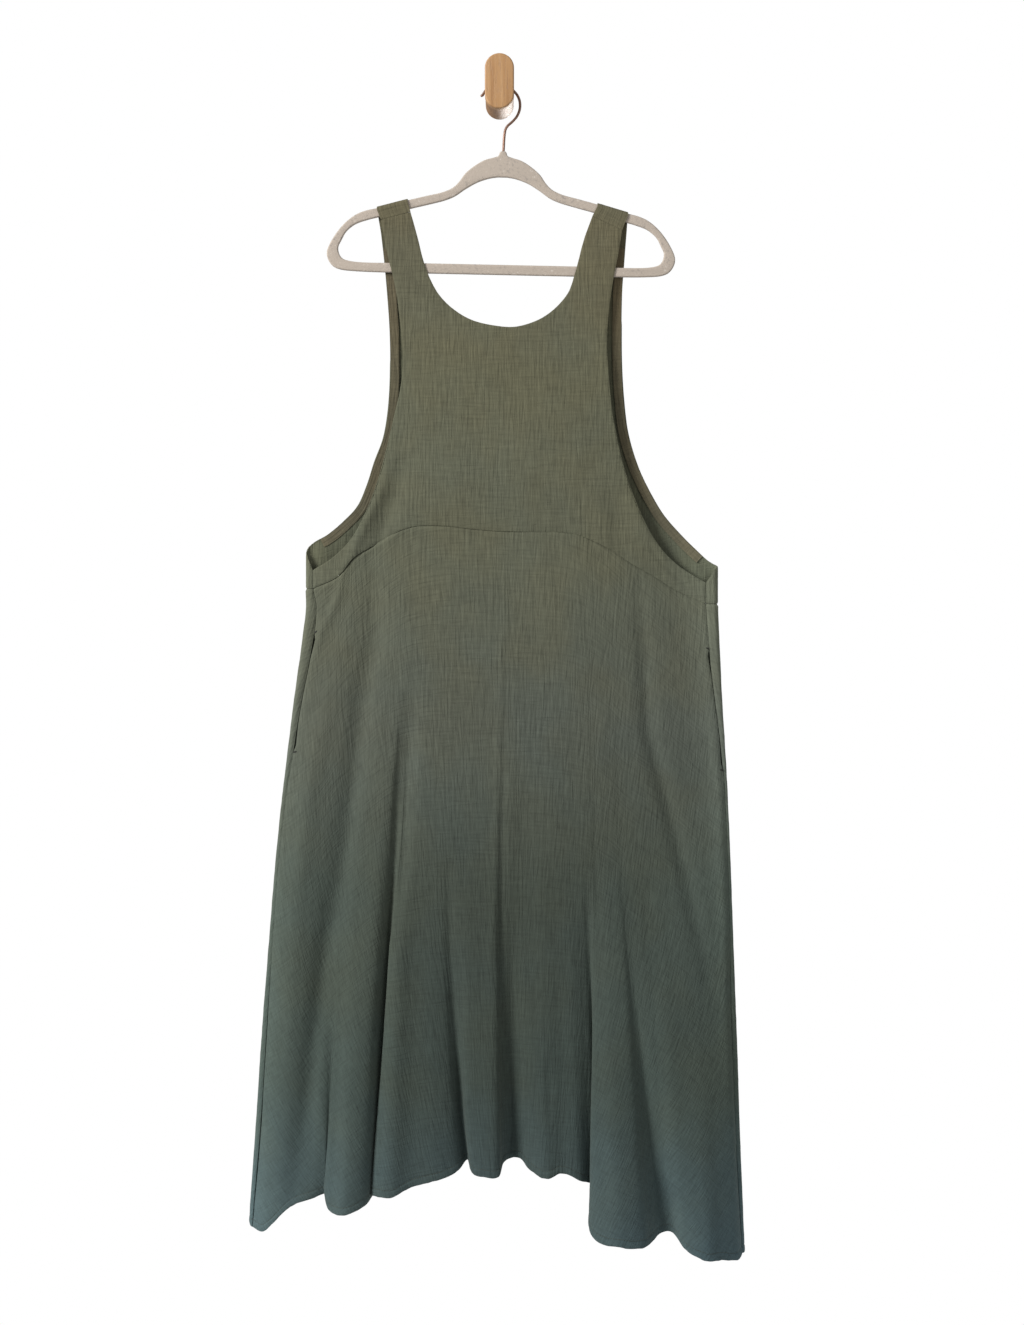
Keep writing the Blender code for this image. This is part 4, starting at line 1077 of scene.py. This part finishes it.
def make_gauze(name, dye_tint=(1, 1, 1)):
    """Crinkled double gauze: fine pleats down the warp, wefts across and single threads."""
    made = Nodes(name)
    weave = made.add("ShaderNodeUVMap", uv_map="weave").outputs[0]
    height = made.axis(made.place, "Z")
    low, high = GAUZE_DRIFT_AND_SHADE[-1][0], GAUZE_DRIFT_AND_SHADE[0][0]
    stops = [
        ((high - z) / (high - low), tuple(map(math.prod, zip(colour, dye_tint))))
        for z, colour in GAUZE_DRIFT_AND_SHADE
    ]
    # Colour by height: the dye's own drift, with painted shade darkening it towards the hem
    height_tone_and_shade = made.ramp(made.spread(height, (low, high), (1, 0)), stops)

    pleats, wefts, folds, tucks, warp_threads, weft_threads, cloudy = (
        made.noise((*cells, 1), detail, 0.5, (*offset, 0), weave) for cells, detail, offset in WEAVE
    )
    lines = []
    for value, steepness in ((tucks, 14), (folds, 20)):
        off_middle = made.math("ABSOLUTE", made.math("SUBTRACT", value, 0.5))
        off_middle = made.math("MULTIPLY", off_middle, steepness)
        lines.append(made.math("SUBTRACT", 1, off_middle, clamped=True))
    gaps = made.total(lines[0], (lines[1], 0.8))
    parts = (pleats, wefts, warp_threads, weft_threads, cloudy, gaps)
    relief = made.total(0, *zip(parts, WEAVE_RELIEF))
    # Weave tone, with painted shade where the relief is low
    shade = made.grey(made.total(WEAVE_SHADE, *zip(parts, WEAVE_TONE_AND_SHADE)))

    dye = made.noise((11, 11, 9), offset=(0.3, 0.9, 0.1))
    tint = made.ramp(dye, [(0.38, (1.02, 1, 0.965)), (0.62, (0.97, 1, 1.035))])
    colour = made.times(made.times(height_tone_and_shade, shade), tint)
    # Painted light on the sides, which grow lighter towards the outline
    reach = made.math("ABSOLUTE", made.math("SUBTRACT", made.axis(made.place, "X"), MIDDLE[0]))
    half = made.total(MIDDLE[1], (height, MIDDLE[2]))
    sides = made.spread(made.math("DIVIDE", reach, half), PAINTED_LIGHT_SIDES, (1, SIDE_PAINTED_LIGHT))
    # Painted shade on the lower middle, which darkens downwards
    lower = made.spread(height, MIDDLE_SHADE_HEIGHTS, (0, MIDDLE_PAINTED_SHADE))
    lower = made.math("MULTIPLY", lower, made.spread(reach, MIDDLE_SHADE_REACH))
    strength = made.math("MULTIPLY", sides, made.math("SUBTRACT", 1, lower))
    colour = made.times(colour, made.grey(strength))
    # Painted shade on the cloth's inside, seen behind the armholes
    facing = made.spread(made.axis(made.normal, "Y"), INSIDE_FACING)
    inside = made.math("MULTIPLY", facing, made.spread(made.axis(made.place, "Y"), INSIDE_Y))
    colour = made.mix(inside, colour, made.times(colour, INSIDE_PAINTED_SHADE))
    return made.finish(
        colour, relief, 0.0005, made.total(0.86, (wefts, 0.08)), Specular_IOR_Level=0.25,
        Sheen_Weight=0.12, Sheen_Roughness=0.5, Sheen_Tint=(0.55, 0.6, 0.5),
    )


def make_thread(name, dark, light):
    made = Nodes(name)
    twist = made.noise(900)
    return made.finish(made.mix(twist, dark, light), twist, 0.0002, 0.7)


def make_flocking():
    """Short greige pile, rubbed thin in specks along the edges and on the crown."""
    made = Nodes("flocking")
    pile = made.noise(1500, 2, 0.6)
    worn = made.noise(260, 3, 0.65, (0.4, 0.2, 0.7))
    patchy = made.ramp(made.noise(24, 1), [(0.42, (0.25, 0.25, 0.25)), (0.58, (1, 1, 1))])
    speck = made.ramp(worn, [(0.56, (0, 0, 0)), (0.66, (1, 1, 1))])
    speck = made.math("MULTIPLY", speck, made.math("MULTIPLY", patchy, 0.7))
    colour = made.mix(pile, (0.37, 0.318, 0.268), (0.55, 0.48, 0.415))
    colour = made.mix(speck, colour, (0.3, 0.27, 0.245))
    bald = made.ramp(worn, [(0.3, (1, 1, 1)), (0.38, (0, 0, 0))])
    colour = made.mix(made.math("MULTIPLY", bald, 0.45), colour, (0.7, 0.66, 0.61))
    return made.finish(
        colour, made.total(pile, (worn, 0.8)), 0.00022, made.total(0.88, (pile, 0.1)),
        Specular_IOR_Level=0.2, Sheen_Weight=0.25, Sheen_Roughness=0.4,
    )


def make_copper():
    """Rose gold plating, with faint drawing marks along the wire."""
    made = Nodes("rose_gold")
    marks = made.noise(420, 3)
    colour = made.mix(marks, (0.2, 0.115, 0.08), (0.28, 0.165, 0.12))
    return made.finish(colour, marks, 0.00001, made.total(0.36, (marks, 0.16)), Metallic=0.55)


def make_oak():
    """Oiled oak, its grain and pores upright."""
    made = Nodes("oak")
    bend = made.noise((30, 30, 9))
    rings = made.noise((170, 90, 7), 4, 0.6, (0.3, 0.1, 0))
    pores = made.noise((1100, 900, 42), 2, 0.6)
    colour = made.ramp(made.total(0, (rings, 0.8), (bend, 0.2)), OAK)
    pore = made.ramp(pores, [(0.56, (0, 0, 0)), (0.68, (1, 1, 1))])
    colour = made.mix(made.math("MULTIPLY", pore, 0.45), colour, (0.22, 0.11, 0.045))
    # Painted shade on the stem behind the plate
    stem_shade = made.spread(made.axis(made.place, "Y"), OAK_SHADE_Y)
    colour = made.mix(stem_shade, colour, made.times(colour, (0.68, 0.6, 0.5)))
    relief = made.total(0, (rings, 0.4), (pore, -0.6))
    return made.finish(colour, relief, 0.00018, made.total(0.4, (rings, 0.18)))


gauze = make_gauze("gauze")
facing_gauze = make_gauze("gauze_facing", (1.13, 0.96, 0.93))
thread = make_thread("thread", (0.036, 0.04, 0.028), (0.062, 0.07, 0.052))
dark_thread = make_thread("dark_thread", (0.01, 0.011, 0.008), (0.022, 0.024, 0.018))


def fine_rows():
    """Row values of a bodice's fine grid, closer together at the last row."""
    last = STRAP_ROWS + CHEST_ROWS
    rows = [i / BODICE_ROWS_FINE for i in range(last * BODICE_ROWS_FINE)]
    return rows + [last - 0.05, last - 0.02, last]


def edge_rolls(spots, kept, reach=1.3, depth=0.5):
    """How far a cloth's free edges roll to the inside, from each point's distance to the edge."""
    inside = np.pad(kept, 1)
    corners = (inside[:-1, :-1], inside[:-1, 1:], inside[1:, :-1], inside[1:, 1:])
    some, full = np.any(corners, axis=0), np.all(corners, axis=0)
    places = spots[some & ~full]
    tree = KDTree(len(places))
    for i, spot in enumerate(places):
        tree.insert(spot, i)
    tree.balance()
    roll = np.zeros(spots.shape[:2])
    for cell in zip(*np.nonzero(some)):
        roll[cell] = -depth * bell(tree.find(spots[cell])[2], reach)
    return roll


def finish_bodice(name, spots, u, v, relief, kept, outward):
    spots = spots + normals(spots, outward) * relief[..., None]
    spots[-3:, :, 2] -= BODICE_LAP
    return cloth(name, spots, u, v, gauze, kept)


def build_front_bodice():
    plan, rows = front_plan(), fine_rows()
    spots, flat = plan.spots(rows, FRONT_BODICE_FINE, front_place)
    kept = plan.kept(rows, FRONT_BODICE_FINE)
    u, v = flat[..., 0], flat[..., 1]
    soft = 0.8 * lattice_noise(u / 70, v / 120, 21) * clamp((-260 - v) / 120)
    relief = crinkle(u, v, 31) + crease_height(u, v, BODICE_CREASES) + soft
    relief += edge_rolls(spots, kept)
    return finish_bodice("front_bodice", spots, u, v, relief, kept, -1)


def build_back_bodice():
    plan, rows, fine = back_plan(), fine_rows(), BACK_BODICE_FINE
    chest, flat = plan.spots(rows, fine, back_place)
    arm = np.arange(ARM_ROWS * ARM_ROWS_FINE) / ARM_ROWS_FINE
    columns = np.arange(plan.columns * fine + 1) / fine
    left, right = (
        [over_arm(side, across / STRAP_COLUMNS, row) for row in range(ARM_ROWS)]
        for side, across in (("left", columns - plan.stops[2]), ("right", plan.stops[5] - columns))
    )
    stations = np.where((columns <= plan.stops[3])[:, None], left, right)
    stations = np.concatenate([stations, chest[:1], chest[BODICE_ROWS_FINE : BODICE_ROWS_FINE + 1]])
    over = spline(stations.swapaxes(0, 1), arm).swapaxes(0, 1)
    spots = np.concatenate([over, chest])
    kept = plan.kept([*(arm - ARM_ROWS), *rows], fine)
    u = np.concatenate([np.repeat(flat[:1, :, 0], len(arm), axis=0), flat[..., 0]])
    v, z = -walked(spots), spots[..., 2]
    relief = crinkle(u, v, 41) + edge_rolls(spots, kept)
    relief += 0.8 * lattice_noise(u / 80, v / 130, 22) * clamp((-300 - z) / 120)
    relief *= 1 - 0.75 * clamp((z + 215) / 20)
    return finish_bodice("back_bodice", spots, u, v, relief, kept, 1)


def skirt_rows(length):
    """Shares of the skirt's length at its rows, which are close together at both ends."""
    first, last = SEAM_ROWS[-1], length - HEM_ROWS[0]
    steps = int((last - first) / ROW_STEP)
    rows = [*SEAM_ROWS, *(blend(first, last, i / steps) for i in range(1, steps))]
    return np.array([*rows, *(length - gap for gap in HEM_ROWS)]) / length


def build_skirt(name, fold_points, fine, outward, seed, creases, seam_depth=None):
    shares = skirt_rows(SKIRT_LENGTH)
    folds = fold_points(shares)
    spots = spline(folds, np.arange((folds.shape[1] - 1) * fine + 1) / fine)
    top = spots[0].copy()
    top[:, 2] = EMPIRE.at_x(top[:, 0]) - SEAM_GAP / 2
    if seam_depth:
        top[:, 1] = seam_depth(top[:, 0], top[:, 2])
    spots = spots + (top - spots[0]) * ((1 - shares) ** 2)[:, None, None]
    down, across = walked(spots), walked(spots, 1)
    to_hem = down[-1:] - down
    side = np.minimum(across, across[:, -1:] - across)
    middle = [
        np.interp(FRONT_CENTRE_X, np.maximum.accumulate(row[:, 0]), walk)
        for row, walk in zip(spots, across)
    ]
    x, z = spots[..., 0], spots[..., 2]
    u = (across - np.array(middle)[:, None]) / (1 + WARP_FLARE * (z - WARP_FLARE_Z))
    v = -down + WEFT_BOW * (x - FRONT_CENTRE_X) ** 2
    relief = crinkle(u, v, seed)
    relief += crease_height(x, z, creases) * (1 - bell(side, CREASE_SIDE))
    relief += 0.9 * lattice_noise(u / 55, v / 160, seed + 7) * clamp(down / 150)
    relief *= 1 - 0.5 * bell(to_hem, 10)
    # groove and rim of the empire seam, groove of the side seam
    relief += ridge(down, *SEAM_RIM) + ridge(down, *SEAM_GROOVE) + ridge(side, *SIDE_GROOVE)
    # turned hem, puckered along its stitches
    pucker = lattice_noise(u / 5, v / 30, seed + 9)
    relief += clamp((HEM_STITCH + 1 - to_hem) / 2) * (0.35 + 0.25 * pucker)
    relief += ridge(to_hem, *STITCH_GROOVE) * (1 + 0.5 * pucker) + ridge(to_hem, *HEM_EDGE)
    normal = normals(spots, outward)
    spots = spots + normal * relief[..., None]
    spots[0, :, 2] += SKIRT_LAP
    ragged = lattice_noise(u / 7, v / 400, seed + 11) + lattice_noise(u / 19, v / 400, seed + 12)
    spots[..., 2] += 0.45 * ragged * clamp(1 - to_hem / 25)
    made = cloth(name, spots, u, v, gauze)
    row = int(np.argmin(np.abs(to_hem[:, 0] - HEM_STITCH)))
    line = stitches(name + "_cloth_hem_stitches", [(spots[row], normal[row])], thread)
    return made, line, spots, normal


def build_facing(side):
    edge = Line(back_armholes()[0 if side == "left" else 1], FACING_LINE_STEPS)
    turn = 1 if side == "left" else -1
    start, last = 0, 1
    while edge.at(start)[1] > FACING_TOP_Z:
        start += 0.002
    while edge.at(last)[1] < FACING_END_Z[side]:
        last -= 0.002
    share = np.linspace(start, last, FACING_ROWS + 1)
    along = unit(edge.at(share + 0.004) - edge.at(share - 0.004))
    inward = stacked(-along[:, 1], along[:, 0])[:, None] * turn
    u = FACING_WIDTH * np.linspace(0, 1, FACING_COLUMNS + 1)
    reach, z = np.moveaxis(edge.at(share)[:, None] + inward * (FACING_INSET + u)[:, None], -1, 0)
    step = back_place(reach + 0.5, z) - back_place(reach - 0.5, z)
    lift = CLOTH / 2 + LAYER_GAP + FACING_CLOTH / 2
    spots = back_place(reach, z) + unit(stacked(step[..., 1], -step[..., 0], 0)) * lift
    u, v = np.broadcast_arrays(u, -share[:, None] * edge.reach[-1])
    normal = normals(spots, turn)
    relief = 0.4 * crinkle(u, v, 81) - 0.3 * bell(FACING_WIDTH * FACING_STITCH - u, 0.8)
    spots = spots + normal * relief[..., None]
    made = cloth("armhole_facing_" + side, spots, u, v, facing_gauze, thickness=FACING_CLOTH)
    column = int(FACING_COLUMNS * FACING_STITCH)
    path = [(spots[:, column], normal[:, column])]
    return made, stitches("armhole_stitches_" + side, path, thread, lift=0.55)


def build_pocket(side):
    last = len(FRONT_FOLDS) - 1
    at = np.arange((len(POCKET_SECTION) - 1) * BAG_FINE + 1) / BAG_FINE
    fold, layer = spline(np.array([POCKET_SECTION]), at)[0].T
    fold = np.maximum(fold, 0)
    at, near = (fold, fold + 0.1) if side == "left" else (last - fold, last - fold - 0.1)
    down = np.linspace(0, 1, BAG_ROWS + 1)
    share = blend(BAG_TOP, BAG_END, down)
    row, below = front_folds(share, False), front_folds(share + 0.01, False)
    here = spline(row, at)
    normal = unit(np.cross(spline(row, near) - here, spline(below, at) - here))
    normal *= np.where(normal[..., 1:2] < 0, -1, 1)
    depth = blend(BAG_END_DEPTH, BAG_DEPTH, np.sqrt(np.sin(np.pi * down)))[:, None]
    spots = here + normal * (BAG_BEHIND + depth * layer)[..., None]
    u, v = walked(spots, 1), -walked(spots)
    pressed = np.maximum(0, -crease_height(spots[..., 0], spots[..., 2], FRONT_CREASES))
    given = clamp(layer) * np.minimum(pressed, BAG_DEPTH - BAG_END_DEPTH)
    spots[..., 1] += BAG_CLEARANCE + pressed - given
    return cloth("pocket_" + side, spots, u, v, gauze, thickness=POCKET_CLOTH)


def plate_mesh(name, thickness, rounding, outlines, matrix):
    """Plate with rounded edges from its outlines, as one welded mesh set in its place."""
    curve = bpy.data.curves.new(name, "CURVE")
    curve.dimensions = "2D"
    curve.fill_mode = "BOTH"
    curve.extrude = (thickness / 2 - rounding) * MM
    curve.bevel_depth = rounding * MM
    curve.bevel_resolution = 5
    curve.offset = -rounding * MM
    for points in outlines:
        line = curve.splines.new("POLY")
        line.points.add(len(points) - 1)
        for spot, (x, y) in zip(line.points, points):
            spot.co = (x * MM, y * MM, 0, 1)
        line.use_cyclic_u = True
    data = evaluated(linked(name, curve))
    data.transform(matrix)
    mend(data, 0.005)
    smooth(data, PLATE_SHARP)
    return data


def both_halves(points):
    points = np.array(points)
    return np.concatenate([points, points[::-1] * (-1, 1)])


def placed(x, y, z):
    return Matrix.Translation(Vector((x, y, z)) * MM)


def build_hanger():
    outer = Line(HANGER_OUTER).at(np.linspace(0, 1, HANGER_OUTER_POINTS))
    inner = Line(HANGER_INNER).at(np.linspace(0, 1, HANGER_INNER_POINTS))
    turn = Euler((math.radians(90), math.radians(HANGER_TILT), 0)).to_matrix().to_4x4()
    matrix = placed(HANGER_TOP[0], HANGER_Y, HANGER_TOP[1]) @ turn
    outlines = [both_halves([*NUB, *outer]), both_halves(inner)]
    data = plate_mesh("hanger_plate", HANGER_THICKNESS, HANGER_ROUND, outlines, matrix)
    new_object("hanger_plate", data, make_flocking(), "hanger")


def build_wire():
    """Wire hook, whose free end is cut round."""
    route, radius = Line(WIRE_ROUTE), WIRE_DIAMETER / 2
    share = np.linspace(0, 1, WIRE_RINGS)[:, None, None]
    here, run = route.at(share[..., 0]), unit(route.at(share + 0.004) - route.at(share - 0.004))
    start = np.minimum(1, share * route.reach[-1] / radius)
    size = radius * np.sqrt(np.maximum(0.05, 1 - (1 - start) ** 2))[..., 0]
    cosines, sines = (turn[:, 0] * size for turn in ring_turns(WIRE_SIDES))
    x, z = (here[..., i] + side * cosines for i, side in ((0, -run[:, 0, :, 1]), (1, run[:, 0, :, 0])))
    made = tubes("hanger_wire", [stacked(x, HANGER_Y + sines, z)], make_copper(), "hanger_hook")
    smooth(made.data, 60)


def build_wall_hook():
    """Round-ended plate and round stem, joined."""
    angle = np.linspace(0, np.pi, ARC_POINTS)
    arc = PLATE_RADIUS * stacked(np.cos(angle), np.sin(angle))
    outline = np.concatenate([arc + (0, PLATE_HEIGHT - 2 * PLATE_RADIUS), -arc])
    turn = Matrix.Rotation(math.radians(90), 4, "X")
    matrix = placed(0, PLATE_BACK_Y - PLATE_THICKNESS / 2, 0) @ turn
    plate = linked("plate", plate_mesh("plate", PLATE_THICKNESS, PLATE_ROUND, [outline], matrix))
    cylinder = bmesh.new()
    radius = STEM_RADIUS * MM
    bmesh.ops.create_cone(cylinder, cap_ends=True, segments=ROUND_SEGMENTS, radius1=radius,
                          radius2=radius, depth=STEM_LENGTH * MM)
    cylinder.transform(placed(0, -STEM_LENGTH / 2, 0) @ turn)
    data = bpy.data.meshes.new("stem")
    cylinder.to_mesh(data)
    cylinder.free()
    stem = linked("stem", data)
    union = plate.modifiers.new("stem", "BOOLEAN")
    union.operation = "UNION"
    union.object = stem
    whole = evaluated(plate)
    bpy.data.objects.remove(stem)
    smooth(whole, PLATE_SHARP)
    new_object("wall_hook_oak", whole, make_oak(), "wall_hook")


def build_tack(side, end, share, spots, normal):
    """Bar tack at one end of a pocket's mouth: close threads from the seam inwards."""
    turn, column = (1, 0) if side == "left" else (-1, spots.shape[1] - 1)
    down = walked(spots)[:, column]
    row = int(np.argmin(np.abs(down - share * down[-1])))
    seam = spots[row, column] - (TACK_OVERHANG * turn, 0, 0)
    run = unit(spots[row, column + 4 * turn] - seam)
    up = normal[row, column + 2 * turn]
    rows = []
    for i in range(TACK_THREADS):
        start = seam + (0, 0, (i - TACK_THREADS // 2) * TACK_PITCH)
        rows.append((np.array([start, start + run * TACK_LENGTH]), np.array([up, up])))
    # just under the length, so that each row holds one thread
    pitch = TACK_LENGTH * 0.999
    return stitches("bar_tack_" + side + "_" + end, rows, dark_thread, pitch, TACK_LENGTH, 0.34, 0.95)


# Light: share of the white surroundings that lights the object, then name, place, aim, size, power
AMBIENT = 0.36
LIGHTS = [
    ("key", (-4.9, -3, 1.6), (0, 0, -0.7), 2.4, 500),
    ("fill", (2.4, -2, -0.2), (0, 0, -0.8), 1.8, 15),
    ("back", (1.2, 3.4, -0.5), (0, 0, -0.7), 2.2, 90),
]
LIGHT_COLOUR = (1, 0.985, 0.96)

# Floor
FLOOR_RADIUS = 0.82
FLOOR_Z = -1.9

# Camera: focal length and height of the photograph in its pixels
FOCAL_PIXELS = 1771
PHOTO_HEIGHT = 1325
SENSOR = 36
CAMERA_PLACE = (0.0159, -2.29, -0.7199)


def build_stage():
    """Pale floor under the hanging dress."""
    ring = bmesh.new()
    bmesh.ops.create_circle(ring, cap_ends=True, segments=ROUND_SEGMENTS, radius=FLOOR_RADIUS)
    data = bpy.data.meshes.new("floor")
    ring.to_mesh(data)
    ring.free()
    floor = linked("floor", data)
    floor.location = (0, 0, FLOOR_Z)
    made = Nodes("floor")
    grain = made.noise(40, 3)
    colour = made.mix(grain, (0.8, 0.79, 0.77), (0.86, 0.85, 0.83))
    data.materials.append(made.finish(colour, 0, 0.001, 0.8))


def build_light():
    world = bpy.data.worlds.new("studio")
    bpy.context.scene.world = world
    world.use_nodes = True
    tree = world.node_tree
    background = tree.nodes["Background"]
    background.inputs["Color"].default_value = (1, 1, 1, 1)
    ray = tree.nodes.new("ShaderNodeLightPath")
    level = tree.nodes.new("ShaderNodeMapRange")
    level.inputs["To Min"].default_value = AMBIENT
    level.inputs["To Max"].default_value = 1
    tree.links.new(ray.outputs["Is Camera Ray"], level.inputs["Value"])
    tree.links.new(level.outputs[0], background.inputs["Strength"])
    for name, place, aim, size, power in LIGHTS:
        lamp = bpy.data.lights.new(name, "AREA")
        lamp.shape = "DISK"
        lamp.size = size
        lamp.energy = power
        lamp.color = LIGHT_COLOUR
        holder = linked(name, lamp)
        holder.location = place
        holder.rotation_euler = (Vector(aim) - Vector(place)).to_track_quat("-Z", "Y").to_euler()


def build_camera():
    """The photograph's own place and angle."""
    lens = bpy.data.cameras.new("camera")
    lens.sensor_fit = "AUTO"
    lens.sensor_width = SENSOR
    lens.lens = FOCAL_PIXELS / PHOTO_HEIGHT * SENSOR
    camera = linked("camera", lens)
    camera.location = CAMERA_PLACE
    camera.rotation_euler = (math.radians(90), 0, 0)
    bpy.context.scene.camera = camera


bpy.context.scene.view_settings.view_transform = "Standard"

front_bodice = build_front_bodice()
back_bodice = build_back_bodice()
front_skirt, front_hem, *front_grid = build_skirt(
    "front_skirt", front_folds, FRONT_SKIRT_FINE, -1, 51, FRONT_CREASES, front_depth
)
back_skirt, back_hem, *_ = build_skirt("back_skirt", back_folds, BACK_SKIRT_FINE, 1, 71, [])
facings = {side: build_facing(side) for side in ("left", "right")}
pockets = {side: build_pocket(side) for side in ("left", "right")}
tacks = [
    build_tack(side, end, share, *front_grid)
    for side in ("left", "right")
    for end, share in (("upper", MOUTH_TOP), ("lower", MOUTH_END))
]
build_hanger()
build_wire()
build_wall_hook()
build_stage()
build_light()
build_camera()
